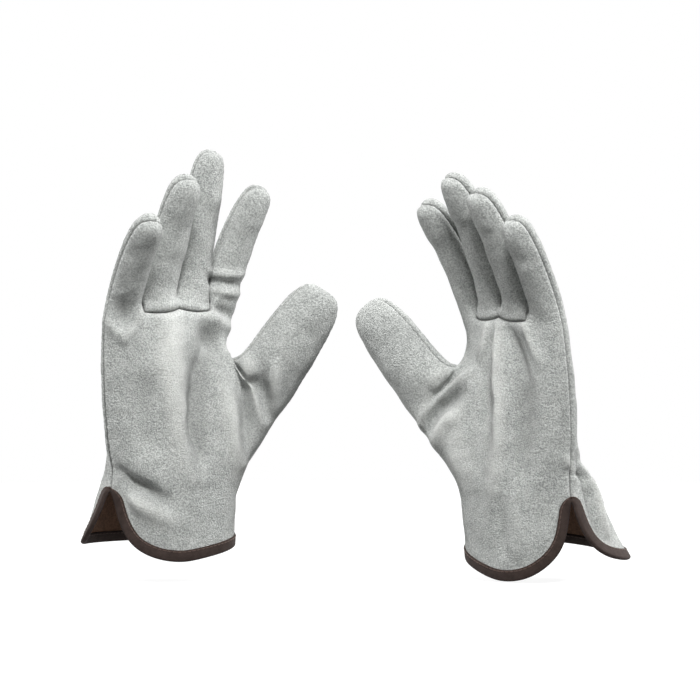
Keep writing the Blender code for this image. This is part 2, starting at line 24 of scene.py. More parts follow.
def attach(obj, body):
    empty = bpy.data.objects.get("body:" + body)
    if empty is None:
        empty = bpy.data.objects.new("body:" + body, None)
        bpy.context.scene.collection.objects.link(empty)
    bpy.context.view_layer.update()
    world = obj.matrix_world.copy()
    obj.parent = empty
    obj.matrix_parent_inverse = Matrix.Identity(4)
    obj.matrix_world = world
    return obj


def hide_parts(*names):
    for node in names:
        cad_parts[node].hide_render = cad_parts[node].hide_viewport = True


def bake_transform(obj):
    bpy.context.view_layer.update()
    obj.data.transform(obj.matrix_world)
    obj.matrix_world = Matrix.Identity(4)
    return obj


bl_info = {
    "name": "Welding gloves",
    "version": (1, 0, 0),
    "blender": (4, 5, 0),
    "location": "View3D > Sidebar > Gloves",
    "description": "Dresses a pair of split-leather welding gloves",
    "category": "Object",
}

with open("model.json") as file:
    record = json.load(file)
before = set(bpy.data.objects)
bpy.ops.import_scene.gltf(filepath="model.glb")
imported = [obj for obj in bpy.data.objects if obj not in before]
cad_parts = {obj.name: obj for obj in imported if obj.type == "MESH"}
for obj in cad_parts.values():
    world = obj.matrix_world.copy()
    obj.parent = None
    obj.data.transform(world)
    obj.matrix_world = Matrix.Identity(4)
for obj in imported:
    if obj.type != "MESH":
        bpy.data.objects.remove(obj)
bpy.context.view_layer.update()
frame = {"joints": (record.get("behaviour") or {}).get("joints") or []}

SIDES = {"right": 1.0, "left": -1.0}

# Heights of the hand above the cuff's edge
SLIT_LENGTH = 0.050
WRIST_HEIGHT = 0.061
THUMB_ROOT_HEIGHT = 0.077
WEB_HEIGHT = 0.121
FINGER_BASE_HEIGHT = 0.1495
CROTCH_RISE = 0.004  # how much higher a crotch is between two fingers than at their fronts and backs
KNUCKLE_ARCH = 0.005  # how much lower the outer fingers start than the middle ones
HEM_RISE = 0.009  # how much the cuff's edge at the back and sides stands above the mouth's middle
HEM_SLANT = 0.6  # how much more of its dip the palm's edge has towards the little finger's side

# The slit: what share of the back's flare each row takes, from the hem to the slit's top, and what share of
# that the back's columns take, from the slit on
FLARE_SHARES = (1.0, 0.75, 0.4)
FLARE_SPREAD = (1.0, 0.5, 0.2)
EDGE_CROWDING = 1.35  # keeps the columns beside the slit wider apart than the next ones
CORNER_RISE = 0.007  # the palm's corner is cut away to a curve

# Half sizes of the hand's sections: ulnar and radial half widths, palm and back depths, and the slope of
# the knuckle line, which carries the index finger further back than the little finger
Section = namedtuple("Section", "ulnar radial palm back slope")
HEM_SECTION = Section(0.039, 0.036, 0.029, 0.038, 0.0)
CUFF_SECTION = Section(0.040, 0.037, 0.029, 0.033, 0.0)
SLIT_SECTION = Section(0.041, 0.039, 0.028, 0.027, 0.0)
WRIST_SECTION = Section(0.0425, 0.043, 0.026, 0.020, 0.0)
THUMB_LOW_SECTION = Section(0.045, 0.046, 0.025, 0.021, 0.02)
THUMB_MID_SECTION = Section(0.047, 0.046, 0.023, 0.021, 0.06)
WEB_SECTION = Section(0.049, 0.030, 0.019, 0.018, 0.12)
KNUCKLE_SECTION = Section(0.0495, 0.0405, 0.0135, 0.0135, 0.17)
PALM_SQUARENESS = 0.8  # 1 is an ellipse, less is boxier
DIVISION_SHIFTS = (0.0015, 0.0025, 0.0005)  # how far each crotch lies towards the little finger's side

# Digits: length from the base to the tip, half width and half depth near the base
Digit = namedtuple("Digit", "length half_width half_depth")
FINGERS = {
    "little": Digit(0.069, 0.0098, 0.0095),
    "ring": Digit(0.085, 0.0106, 0.0104),
    "middle": Digit(0.095, 0.0108, 0.0106),
    "index": Digit(0.081, 0.0104, 0.0105),
}
THUMB = Digit(0.080, 0.0175, 0.0130)
THUMB_BASE = Vector((0.0420, -0.016, 0.092))  # where the thumb's centre line starts

# The ball of the thumb: how far it carries the palm's last column, the side and the back's first column
# outward and palmward, at the wrist, at the thumb's root, at its middle and at the web
THENAR_OUT = (0.004, 0.008, 0.004, 0.0)
THENAR_PALMWARD = (0.008, 0.015, 0.013, 0.002)

# Stations along a digit, as shares of its length, and the share of its full section there
FINGER_STATIONS = ((0.16, 1.0), (0.42, 1.0), (0.68, 0.97), (0.90, 0.88), (1.01, 0.60))
THUMB_STATIONS = ((0.20, 1.14), (0.44, 1.10), (0.68, 1.03), (0.88, 0.92), (1.01, 0.60))
CURVE_STEPS = 24  # steps for following a digit's curved centre line

# How each hand holds its digits: base flex, curl over the length, splay towards the thumb at the base, and
# sweep towards the thumb over the length
Pose = namedtuple("Pose", "flex curl splay sweep")
POSES = {
    "right": {
        "little": Pose(24.0, 28.0, 1.0, 0.0),
        "ring": Pose(14.0, 26.0, 3.4, 0.0),
        "middle": Pose(6.0, 14.0, 3.8, 0.0),
        "index": Pose(9.5, 22.0, 6.0, 12.0),
        "thumb": Pose(17.0, 0.5, 29.5, 0.0),
    },
    "left": {
        "little": Pose(20.5, 14.5, -3.5, 0.0),
        "ring": Pose(17.5, 22.5, -4.0, 0.0),
        "middle": Pose(15.5, 24.0, -4.5, 0.0),
        "index": Pose(14.0, 28.0, 0.0, 3.0),
        "thumb": Pose(12.5, 0.5, 34.0, 0.0),
    },
}

# How each cuff hangs: how far the back's corner swings out at the hem, how far the palm's edge dips, how
# far round the section from the hand's edge the palm's and the back's sides of the slit lie, for the rows
# from the hem up, and how far the back's corner is cut away to a curve
Cuff = namedtuple("Cuff", "flare dip palm_edge back_edge back_corner")
CUFFS = {
    "right": Cuff(Vector((-0.015, 0.002, 0.0)), 0.008, (29.0, 11.0, 5.0), (12.0, -7.0), 0.0),
    "left": Cuff(Vector((-0.018, 0.021, -0.010)), 0.013, (16.0, 6.0, 4.0), (-12.0, -30.0), 0.005),
}

# Where the gloves stand: place of the cuff's mouth, pitch and yaw
PLACES = {
    "right": (Vector((0.0, 0.0, 0.0)), 0.0, 28.0),
    "left": (Vector((0.209, 0.0, -0.0034)), 4.7, -45.4),
}

# Topology of the cage
HAND_SIDES = 12
FINGER_SIDES = 6
THUMB_SIDES = 8
SMOOTH_LEVEL = 4
RADIAL_COLUMN = 5
ULNAR_COLUMN = 11
FRONT_SEGMENTS = (11, 0, 1, 2, 3, 4)
SLIT_ROW, WRIST_ROW, THUMB_LOW_ROW, THUMB_MID_ROW, WEB_ROW = 2, 3, 4, 5, 6
DIGITS = {**FINGERS, "thumb": THUMB}
PANELS = ("palm", "back", *(f"{digit}_{face}" for digit in DIGITS for face in ("front", "back")))

# Pairs of panels that are sewn together, and the panels that run on into each other without a seam
SEWN = {frozenset((f"{digit}_front", f"{digit}_back")) for digit in DIGITS}
SEWN |= {frozenset(("palm", other)) for other in ("back", "ring_front", "middle_front")}
SEWN |= {frozenset(("little_front", "ring_front")), frozenset(("middle_front", "index_front"))}
RUNS_ON = {frozenset(("palm", f"{digit}_front")) for digit in ("index", "little", "thumb")}
RUNS_ON |= {frozenset(("back", f"{digit}_back")) for digit in DIGITS}
RUNS_ON |= {frozenset(("ring_front", "middle_front"))}

# The sewn seams: how far a seam draws the leather's grain together, and the pull of its stitches
SEAM_REACH = 0.0048
SEAM_CROWDING = 0.6
SEAM_SAMPLES = 3
PUCKER_PITCH = 0.0042
PUCKER_REACH = 0.0040
PUCKER_HEIGHT = 0.00016

# The elastic's gathers on the back of the wrist
GATHER_PITCH = 0.0068
GATHER_HEIGHT = 0.0008
GATHER_REACH = 0.013
GATHER_DRAW = 0.0016
GATHER_DRAW_REACH = 0.0045
GATHER_STRAY = 0.5  # how far a gather strays to the side, in pitches
GATHER_STRAYS = 60.0  # how often it does so in a metre

# The taped edge holds the leather flat up to the first of these distances. From the second on it folds
# freely.
EDGE_STIFF = 0.006
EDGE_FREE = 0.014

# Uneven leather: wave length and height of the broad and the small unevenness
BROAD_WAVE, BROAD_HEIGHT = 0.022, 0.0007
SMALL_WAVE, SMALL_HEIGHT = 0.0062, 0.00022

# How far above a digit's crease its leather still bends with the hand
BEND_LENGTH = 0.024
THUMB_BEND_LENGTH = 0.028

# Photograph's frame: the camera looks along +Y at the middle between the gloves
CAMERA_PLACE = Vector((0.10506, -1.6, 0.12378))
VIEW_WIDTH = 0.42
SENSOR_WIDTH = 36.0


# The cage


def limit_share(sides):
    """How far out the smoothed surface lies, as a share of a regular cage section of that many sides."""
    return (2.0 + math.cos(2.0 * math.pi / sides)) / 3.0


def edge_between(bm, first, second):
    """The edge of two vertices, made if it isn't there."""
    return bm.edges.get((first, second)) or bm.edges.new((first, second))


def ring_edges(bm, ring):
    """The edges of a closed ring of vertices, in order."""
    return [edge_between(bm, first, second) for first, second in zip(ring, [*ring[1:], ring[0]])]


def extrude_ring(bm, ring, points):
    """Extrudes a closed ring onto new points. Gives the new ring and its faces, in order."""
    made = bmesh.ops.extrude_edge_only(bm, edges=ring_edges(bm, ring))["geom"]
    fresh = {item for item in made if isinstance(item, bmesh.types.BMVert)}
    new_ring = []
    for vert, point in zip(ring, points):
        new_vert = next(e.other_vert(vert) for e in vert.link_edges if e.other_vert(vert) in fresh)
        new_vert.co = point
        new_ring.append(new_vert)
    faces = []
    for i, vert in enumerate(ring):
        following = ring[(i + 1) % len(ring)]
        shared = set(vert.link_faces) & set(following.link_faces) & set(new_ring[i].link_faces)
        faces.append(shared.pop())
    return new_ring, faces


def section_point(section, turn, height):
    """A cage point of a hand section, at an angle round it from the thumb's side by the back."""
    turn = math.radians(turn)
    swell = 1.0 / limit_share(HAND_SIDES)
    half_width = section.radial if math.cos(turn) > 0.0 else section.ulnar
    depth = section.palm if math.sin(turn) < 0.0 else section.back
    x = half_width * math.cos(turn) * swell
    bulge = math.copysign(abs(math.sin(turn)) ** PALM_SQUARENESS, math.sin(turn))
    return Vector((x, section.slope * x + depth * bulge * swell, height))


def column_turn(column, palm_edge):
    """The angle of a column. The palm's columns beside the slit are drawn together towards the palm."""
    if column == ULNAR_COLUMN or column < 2:
        steps = 2 - (column - HAND_SIDES if column == ULNAR_COLUMN else column)
        return -90.0 - (90.0 - palm_edge) * (steps / 3.0) ** (EDGE_CROWDING if palm_edge else 1.0)
    return 30.0 * column - 150.0


def hand_rows(cuff):
    """The cage points of every row of the hand."""
    thumb_middle = (THUMB_ROOT_HEIGHT + WEB_HEIGHT) / 2.0
    levels = (
        (HEM_SECTION, HEM_RISE),
        (CUFF_SECTION, SLIT_LENGTH / 2.0),
        (SLIT_SECTION, SLIT_LENGTH),
        (WRIST_SECTION, WRIST_HEIGHT),
        (THUMB_LOW_SECTION, THUMB_ROOT_HEIGHT),
        (THUMB_MID_SECTION, thumb_middle),
        (WEB_SECTION, WEB_HEIGHT),
        (KNUCKLE_SECTION, FINGER_BASE_HEIGHT),
    )
    rows = []
    for row, (section, height) in enumerate(levels):
        palm_edge = cuff.palm_edge[row] if row <= SLIT_ROW else 0.0
        turns = [column_turn(k, palm_edge) for k in range(HAND_SIDES)]
        rows.append([section_point(section, turn, height) for turn in turns])
    for point in rows[0]:
        slant = 1.0 - HEM_SLANT * point.x / HEM_SECTION.radial
        point.z -= cuff.dip * max(0.0, -point.y / HEM_SECTION.palm) * slant
    for point in rows[-1]:
        point.z -= KNUCKLE_ARCH * (point.x / KNUCKLE_SECTION.radial) ** 2
    for i, shift in enumerate(DIVISION_SHIFTS, start=1):
        rows[-1][i].x -= shift
        rows[-1][2 * RADIAL_COLUMN - i].x -= shift
    for row, share in zip(rows, FLARE_SHARES):
        for step, part in enumerate(FLARE_SPREAD, start=1):
            row[ULNAR_COLUMN - step] += cuff.flare * share * part
    rows[0][ULNAR_COLUMN].z += CORNER_RISE
    rows[0][0].z += CORNER_RISE / 3.0
    for row, out, palmward in zip(rows[WRIST_ROW:], THENAR_OUT, THENAR_PALMWARD):
        for column in (RADIAL_COLUMN - 1, RADIAL_COLUMN, RADIAL_COLUMN + 1):
            row[column] += Vector((out, -palmward, 0.0))
    return rows


def open_slit(bm, column, cuff):
    """Parts the little finger's side of the cuff up to the slit's top, and swings the back's edge out."""
    cut = [edge_between(bm, column[row], column[row + 1]) for row in range(SLIT_ROW)]
    parted = bmesh.ops.split_edges(bm, edges=cut)["edges"]
    back = PANELS.index("back")
    ends = {v for edge in parted for v in edge.verts if len(v.link_faces) < 3}
    for vert in (v for v in ends if v.link_faces[0].material_index == back):
        row = 0 if vert.co.z < SLIT_LENGTH / 3.0 else 1
        section, height = (HEM_SECTION, HEM_RISE) if row == 0 else (CUFF_SECTION, vert.co.z)
        place = section_point(section, 180.0 - cuff.back_edge[row], height)
        vert.co = place + cuff.flare * FLARE_SHARES[row]
        vert.co.z += cuff.back_corner if row == 0 else 0.0


def centre_line(base, digit, pose, share):
    """The centre of a digit at a share of its length, with its lateral, depth and axis directions there."""
    centre = base.copy()
    for step in range(CURVE_STEPS + 1):
        along = share * step / CURVE_STEPS
        splay = math.radians(pose.splay + pose.sweep * along)
        flex = math.radians(pose.flex + pose.curl * along)
        lateral = Vector((math.cos(splay), 0.0, -math.sin(splay)))
        axis = Vector((math.sin(splay) * math.cos(flex), -math.sin(flex), math.cos(splay) * math.cos(flex)))
        if step:
            centre += axis * digit.length * share / CURVE_STEPS
    return centre, lateral, axis.cross(lateral), axis


def digit_ring(base, digit, pose, station, sides):
    """The cage points of a digit's section, from its lateral side round by its front."""
    share, scale = station
    centre, lateral, depth, _ = centre_line(base, digit, pose, share)
    swell = scale / limit_share(sides)
    points = []
    for k in range(sides):
        turn = -2.0 * math.pi * k / sides
        across = lateral * (digit.half_width * math.cos(turn))
        through = depth * (digit.half_depth * math.sin(turn))
        points.append(centre + (across + through) * swell)
    return points


def grow_digit(bm, name, ring, rings):
    """Extrudes a digit from its base ring through its rings, and closes its tip along the seam."""
    front, back = PANELS.index(f"{name}_front"), PANELS.index(f"{name}_back")
    half = len(ring) // 2
    for points in rings:
        ring, faces = extrude_ring(bm, ring, points)
        for k, face in enumerate(faces):
            face.material_index = front if k < half else back
    outer, inner = ring[0], ring[half]
    if half % 2:
        caps = [(ring[: half + 1], front), ([*ring[half:], outer], back)]
    else:
        middle = bm.verts.new((outer.co + inner.co) / 2.0)
        quarter = half // 2
        caps = [
            ([*ring[: quarter + 1], middle], front),
            ([*ring[quarter : half + 1], middle], front),
            ([*ring[half : half + quarter + 1], middle], back),
            ([*ring[half + quarter :], outer, middle], back),
        ]
    for corners, panel in caps:
        bm.faces.new(corners).material_index = panel


def finger_base(left_x, right_x):
    """The centre of a finger's base between two of the hand's columns."""
    x = (left_x + right_x) / 2.0
    arch = KNUCKLE_ARCH * (x / KNUCKLE_SECTION.radial) ** 2
    return Vector((x, KNUCKLE_SECTION.slope * x, FINGER_BASE_HEIGHT - arch))


def digit_bases():
    """The centre of every digit's base. A finger's is halfway between its two crotches or edges."""
    edges = [
        -KNUCKLE_SECTION.ulnar,
        -KNUCKLE_SECTION.ulnar / 2.0 - DIVISION_SHIFTS[0],
        -DIVISION_SHIFTS[1],
        KNUCKLE_SECTION.radial / 2.0 - DIVISION_SHIFTS[2],
        KNUCKLE_SECTION.radial,
    ]
    bases = {name: finger_base(edges[i], edges[i + 1]) for i, name in enumerate(FINGERS)}
    return {**bases, "thumb": THUMB_BASE}


def grow_fingers(bm, top, pose):
    """Divides the hand's top ring by the finger crotches and grows the four fingers from it."""
    columns = range(len(FINGERS) + 1)
    fronts = [top[i] for i in columns]
    backs = [top[2 * RADIAL_COLUMN - i] for i in columns]
    crotches = [top[ULNAR_COLUMN]]
    for i in columns[1:-1]:
        middle = (fronts[i].co + backs[i].co) / 2.0
        crotches.append(bm.verts.new(middle + Vector((0.0, 0.0, CROTCH_RISE))))
    crotches.append(top[RADIAL_COLUMN])
    bases = digit_bases()
    for i, (name, digit) in enumerate(FINGERS.items()):
        ring = [crotches[i + 1], fronts[i + 1], fronts[i], crotches[i], backs[i], backs[i + 1]]
        rings = [digit_ring(bases[name], digit, pose[name], s, FINGER_SIDES) for s in FINGER_STATIONS]
        grow_digit(bm, name, ring, rings)


def grow_thumb(bm, rows, pose):
    """Opens the hand's thumb side between the thumb's root and the web, and grows the thumb from it."""
    palm_column, side, back_column = RADIAL_COLUMN - 1, RADIAL_COLUMN, RADIAL_COLUMN + 1
    opened = rows[THUMB_MID_ROW][side].link_faces[:]
    climb = (THUMB_LOW_ROW, THUMB_MID_ROW, WEB_ROW)
    ring = [rows[THUMB_LOW_ROW][side], *(rows[r][palm_column] for r in climb)]
    ring += [rows[WEB_ROW][side], *(rows[r][back_column] for r in reversed(climb))]
    bmesh.ops.delete(bm, geom=opened, context="FACES")
    rings = [digit_ring(THUMB_BASE, THUMB, pose, s, THUMB_SIDES) for s in THUMB_STATIONS]
    grow_digit(bm, "thumb", ring, rings)


def glove_cage(pose, cuff):
    """The coarse cage of a right glove, with the wrist's gathered line marked as seam edges."""
    bm = bmesh.new()
    rows_points = hand_rows(cuff)
    ring = bmesh.ops.create_circle(bm, segments=HAND_SIDES, radius=1.0)["verts"]
    for vert, point in zip(ring, rows_points[0]):
        vert.co = point
    rows = [ring]
    palm, back = PANELS.index("palm"), PANELS.index("back")
    for points in rows_points[1:]:
        ring, faces = extrude_ring(bm, ring, points)
        rows.append(ring)
        for k, face in enumerate(faces):
            face.material_index = palm if k in FRONT_SEGMENTS else back
    wrist = rows[WRIST_ROW][RADIAL_COLUMN + 1 : ULNAR_COLUMN]
    for first, second in zip(wrist, wrist[1:]):
        edge_between(bm, first, second).seam = True
    grow_thumb(bm, rows, pose["thumb"])
    grow_fingers(bm, rows[-1], pose)
    open_slit(bm, [row[ULNAR_COLUMN] for row in rows], cuff)
    bmesh.ops.recalc_face_normals(bm, faces=bm.faces)
    return bm


def smooth_shell(side):
    """A glove's cage, smoothed finely, as a right glove in the hand frame."""
    cage = glove_cage(POSES[side], CUFFS[side])
    mesh = bpy.data.meshes.new("cage")
    cage.to_mesh(mesh)
    cage.free()
    holder = bpy.data.objects.new("cage", mesh)
    bpy.context.scene.collection.objects.link(holder)
    smooth = holder.modifiers.new("smooth", "SUBSURF")
    smooth.levels = smooth.render_levels = SMOOTH_LEVEL
    graph = bpy.context.evaluated_depsgraph_get()
    fine = bpy.data.meshes.new_from_object(holder.evaluated_get(graph))
    bpy.data.objects.remove(holder)
    shell = bmesh.new()
    shell.from_mesh(fine)
    bpy.data.meshes.remove(fine)
    shell.normal_update()
    return shell


# Seams and edges of the smoothed shell


def by_place(vert):
    """A key that picks the same vertex each time, whatever order the vertices were made in."""
    return tuple(vert.co)


def chains(edges):
    """Joins edges end to end into ordered chains of vertices."""
    links = {}
    for edge in edges:
        for vert in edge.verts:
            links.setdefault(vert, []).append(edge.other_vert(vert))
    found = []
    left = set(links)
    while left:
        ends = [vert for vert in left if len(links[vert]) == 1]
        following = min(ends or left, key=by_place)
        chain = []
        while following:
            chain.append(following)
            left.remove(following)
            following = min((vert for vert in links[following] if vert in left), key=by_place, default=None)
        found.append(chain)
    return found


def panel_borders(shell):
    """The edges between each pair of panels that meet, by the pair's names."""
    borders = {}
    for edge in shell.edges:
        if len(edge.link_faces) == 2:
            first, second = (face.material_index for face in edge.link_faces)
            if first != second:
                borders.setdefault(frozenset((PANELS[first], PANELS[second])), []).append(edge)
    return borders


def seam_trees(borders):
    """For each panel, a tree of points along the seams of that panel and of those that it runs on into.

    Beside the trees comes the distance along its seam of every point.
    """
    samples = []
    for pair, edges in borders.items():
        if pair not in SEWN:
            continue
        for chain in chains(edges):
            along = 0.0
            for first, second in zip(chain, chain[1:]):
                step = second.co - first.co
                for i in range(SEAM_SAMPLES):
                    share = i / SEAM_SAMPLES
                    samples.append((pair, first.co + step * share, along + step.length * share))
                along += step.length
            samples.append((pair, chain[-1].co.copy(), along))
    trees = {}
    for panel in PANELS:
        kin = {panel} | {name for pair in RUNS_ON if panel in pair for name in pair}
        near = [(i, point) for i, (pair, point, _) in enumerate(samples) if pair & kin]
        tree = KDTree(len(near))
        for i, point in near:
            tree.insert(point, i)
        tree.balance()
        trees[panel] = tree
    return trees, [along for _, _, along in samples]


# Folds and waves of the leather

# Each fold is a line on the palm, or on the side of the hand beside the little finger, with its half width
# and its height, which is negative for a crease. A palm's points are across and up the hand, a side's are
# from front to back and up the hand.
Fold = namedtuple("Fold", "face half_width height points")
FOLDS = {
    "right": (
        # The long fold down the palm and the hollows on both sides of it
        Fold("palm", 0.0090, 0.0032, ((-0.010, 0.160), (-0.012, 0.118), (-0.010, 0.092), (0.000, 0.040))),
        Fold("palm", 0.0070, -0.0042, ((0.022, 0.138), (0.008, 0.112), (0.003, 0.084), (0.005, 0.046))),
        Fold("palm", 0.0030, -0.0016, ((0.000, 0.090), (0.002, 0.072), (0.006, 0.056))),
        Fold("palm", 0.0110, -0.0016, ((-0.032, 0.136), (-0.031, 0.100), (-0.022, 0.060))),
        # The fold below the little finger
        Fold("palm", 0.0036, 0.0014, ((-0.056, 0.150), (-0.040, 0.130), (-0.026, 0.152))),
        Fold("palm", 0.0052, -0.0016, ((-0.044, 0.158), (-0.038, 0.134))),
        # The ball of the thumb
        Fold("palm", 0.0070, 0.0024, ((0.022, 0.112), (0.029, 0.074), (0.035, 0.036))),
        Fold("palm", 0.0048, -0.0032, ((0.036, 0.108), (0.037, 0.082), (0.034, 0.056))),
        Fold("palm", 0.0038, 0.0028, ((0.031, 0.126), (0.041, 0.102), (0.045, 0.074))),
        Fold("palm", 0.0034, -0.0022, ((0.041, 0.120), (0.046, 0.100), (0.050, 0.080))),
        Fold("palm", 0.0036, 0.0018, ((0.047, 0.118), (0.051, 0.100), (0.054, 0.084))),
        Fold("palm", 0.0075, -0.0030, ((0.008, 0.138), (0.032, 0.122))),
        # The crease and the fold above the slit
        Fold("palm", 0.0050, -0.0030, ((-0.050, 0.060), (-0.032, 0.043), (-0.012, 0.030))),
        Fold("palm", 0.0060, 0.0022, ((-0.048, 0.046), (-0.030, 0.031), (-0.008, 0.020))),
        # The bent index finger
        Fold("palm", 0.0028, 0.0008, ((0.012, 0.173), (0.046, 0.168))),
        Fold("palm", 0.0028, -0.0010, ((0.012, 0.168), (0.048, 0.162))),
        Fold("palm", 0.0030, 0.0008, ((0.012, 0.162), (0.048, 0.156))),
        Fold("palm", 0.0034, -0.0014, ((0.008, 0.153), (0.044, 0.141))),
        Fold("palm", 0.0040, 0.0012, ((0.008, 0.147), (0.044, 0.134))),
    ),
    "left": (
        # The long fold down the palm and the hollows on both sides of it
        Fold("palm", 0.0060, 0.0026, ((-0.002, 0.162), (-0.007, 0.122), (-0.011, 0.090), (-0.002, 0.030))),
        Fold("palm", 0.0095, -0.0024, ((-0.018, 0.140), (-0.026, 0.100), (-0.020, 0.044))),
        Fold("palm", 0.0032, -0.0014, ((-0.001, 0.158), (0.002, 0.116))),
        Fold("palm", 0.0070, -0.0016, ((0.004, 0.128), (0.003, 0.080))),
        # The short folds below the fingers
        Fold("palm", 0.0036, 0.0014, ((0.000, 0.154), (0.012, 0.118))),
        Fold("palm", 0.0040, -0.0016, ((-0.010, 0.154), (-0.028, 0.108))),
        Fold("palm", 0.0036, 0.0014, ((-0.022, 0.156), (-0.040, 0.116))),
        # The ball of the thumb
        Fold("palm", 0.0038, 0.0024, ((0.056, 0.078), (0.046, 0.098), (0.032, 0.122))),
        Fold("palm", 0.0032, -0.0022, ((0.053, 0.086), (0.042, 0.103), (0.027, 0.116))),
        Fold("palm", 0.0034, 0.0022, ((0.052, 0.088), (0.034, 0.105), (0.012, 0.120))),
        Fold("palm", 0.0042, -0.0024, ((0.052, 0.078), (0.038, 0.095), (0.018, 0.106))),
        Fold("palm", 0.0055, 0.0020, ((0.046, 0.066), (0.036, 0.086), (0.016, 0.098))),
        Fold("palm", 0.0110, 0.0016, ((0.030, 0.094), (0.020, 0.040))),
        # Small folds near the hem
        Fold("palm", 0.0046, -0.0010, ((-0.009, 0.046), (-0.012, 0.004))),
        Fold("palm", 0.0050, 0.0009, ((-0.022, 0.048), (-0.016, 0.004))),
        # The back's flap beside the slit
        Fold("side", 0.0034, 0.0022, ((0.004, 0.074), (0.016, 0.042), (0.019, -0.010))),
        Fold("side", 0.0030, -0.0020, ((0.002, 0.070), (0.010, 0.042), (0.012, -0.002))),
        Fold("side", 0.0028, 0.0018, ((-0.008, 0.068), (0.009, 0.044))),
        Fold("side", 0.0026, -0.0018, ((-0.006, 0.058), (0.014, 0.048))),
    ),
}

# How far a face has to look towards the palm, the little finger's side or the back for what is drawn there
# to set in, and to be full
PALM_FACING = (0.0, 0.4)
SIDE_FACING = (0.3, 0.7)
BACK_FACING = (0.1, 0.6)

# How far the folds stray from their lines, and over what length
FOLD_STRAY = 0.0022
FOLD_STRAY_WAVE = 0.020
FOLD_STRAY_SEED = 1

# Creases across the digits' fronts, as shares of their length, how deep and wide they are, and how far they
# reach to both sides, in half widths of the digit
DIGIT_CREASES = (0.34, 0.62)
DIGIT_CREASE_REACH = 1.3
DIGIT_CREASE_DEPTH = 0.0001
DIGIT_CREASE_WIDTH = 0.0040
DIGIT_SWELL = 0.0002
DIGIT_SWELL_WIDTH = 0.007


def line_distance(across, up, points):
    """How far points of the hand lie from a line, and where along it, as a share, the nearest point is."""
    best = np.full(len(across), 1.0)
    where = np.zeros(len(across))
    lengths = [math.dist(a, b) for a, b in zip(points, points[1:])]
    walked = 0.0
    for (x0, z0), (x1, z1), length in zip(points, points[1:], lengths):
        dx, dz = (x1 - x0) / length, (z1 - z0) / length
        along = np.clip((across - x0) * dx + (up - z0) * dz, 0.0, length)
        distance = np.hypot(across - x0 - along * dx, up - z0 - along * dz)
        nearer = distance < best
        best = np.where(nearer, distance, best)
        where = np.where(nearer, (walked + along) / sum(lengths), where)
        walked += length
    return best, where


def smoothstep(low, high, value):
    """A smooth climb from 0 at the low value to 1 at the high one."""
    share = np.clip((value - low) / (high - low), 0.0, 1.0)
    return share * share * (3.0 - 2.0 * share)


def digit_folds(pose):
    """The creases and swellings across the digits' fronts."""
    folds = []
    bases = digit_bases()
    for digit, form in DIGITS.items():
        for share in DIGIT_CREASES:
            centre, lateral, _, axis = centre_line(bases[digit], form, pose[digit], share)
            for rise, half_width, height in (
                (0.0, DIGIT_CREASE_WIDTH, -DIGIT_CREASE_DEPTH),
                (DIGIT_SWELL_WIDTH, DIGIT_SWELL_WIDTH, DIGIT_SWELL),
            ):
                middle = centre + axis * rise
                reach = lateral * DIGIT_CREASE_REACH * form.half_width
                ends = (middle - reach, middle + reach)
                folds.append(Fold("palm", half_width, height, [(end.x, end.z) for end in ends]))
    return folds


def edge_distance(shell):
    """How far every vertex lies from the cuff's edge."""
    edge = [vert for vert in shell.verts if vert.is_boundary]
    tree = KDTree(len(edge))
    for i, vert in enumerate(edge):
        tree.insert(vert.co, i)
    tree.balance()
    return np.array([tree.find(vert.co)[2] for vert in shell.verts])


def fold_heights(folds, points, normals):
    """How far the named folds lift or sink each point."""
    lift = np.zeros(len(points))
    facing = {
        "palm": smoothstep(*PALM_FACING, -normals[:, 1]),
        "side": smoothstep(*SIDE_FACING, -normals[:, 0]),
    }
    noise.seed_set(FOLD_STRAY_SEED)
    stray = FOLD_STRAY * np.array([noise.noise_vector(Vector(p) / FOLD_STRAY_WAVE) for p in points])
    spots = points + stray
    across = {"palm": 0, "side": 1}
    for fold in folds:
        distance, where = line_distance(spots[:, across[fold.face]], spots[:, 2], fold.points)
        fade = np.sin(math.pi * where)
        lift += fold.height * fade * np.exp(-((distance / fold.half_width) ** 2)) * facing[fold.face]
    return lift


def gathers(points, normals):
    """The gathers that the elastic draws into the back of the wrist."""
    back = smoothstep(*BACK_FACING, normals[:, 1])
    above = points[:, 2] - WRIST_HEIGHT
    stray = GATHER_STRAY * np.array([noise.noise(Vector(p) * GATHER_STRAYS) for p in points])
    ripple = np.sin(2.0 * math.pi * (points[:, 0] / GATHER_PITCH + stray))
    rise = GATHER_HEIGHT * ripple * np.exp(-((above / GATHER_REACH) ** 2))
    draw = GATHER_DRAW * np.exp(-((above / GATHER_DRAW_REACH) ** 2))
    return back * (rise - draw)


def unevenness(points):
    """The leather's own broad and small waves."""
    broad = np.array([noise.fractal(Vector(p) / BROAD_WAVE, 1.0, 2.0, 2) for p in points])
    small = np.array([noise.noise(Vector(p) / SMALL_WAVE) for p in points])
    return BROAD_HEIGHT * broad + SMALL_HEIGHT * small


def nearest_seams(shell, borders, points):
    """For every point the distance to its nearest seam, the seam's point and how far along that lies."""
    trees, alongs = seam_trees(borders)
    distance = np.full(len(points), 1.0)
    nearest = points.copy()
    along = np.zeros(len(points))
    for i, vert in enumerate(shell.verts):
        panel = PANELS[min(face.material_index for face in vert.link_faces)]
        spot, index, reach = trees[panel].find(vert.co)
        if reach < 2.0 * SEAM_REACH:
            nearest[i], along[i], distance[i] = spot, alongs[index], reach
    return distance, nearest, along


def stand(side):
    """How a glove in the hand frame is mirrored and turned, and where it is put."""
    spot, pitch, yaw = PLACES[side]
    mirror = Matrix.Diagonal((SIDES[side], 1.0, 1.0))
    turn = Euler((math.radians(pitch), 0.0, math.radians(yaw)), "XYZ").to_matrix() @ mirror
    return turn, spot


Surface = namedtuple("Surface", "shell borders place")


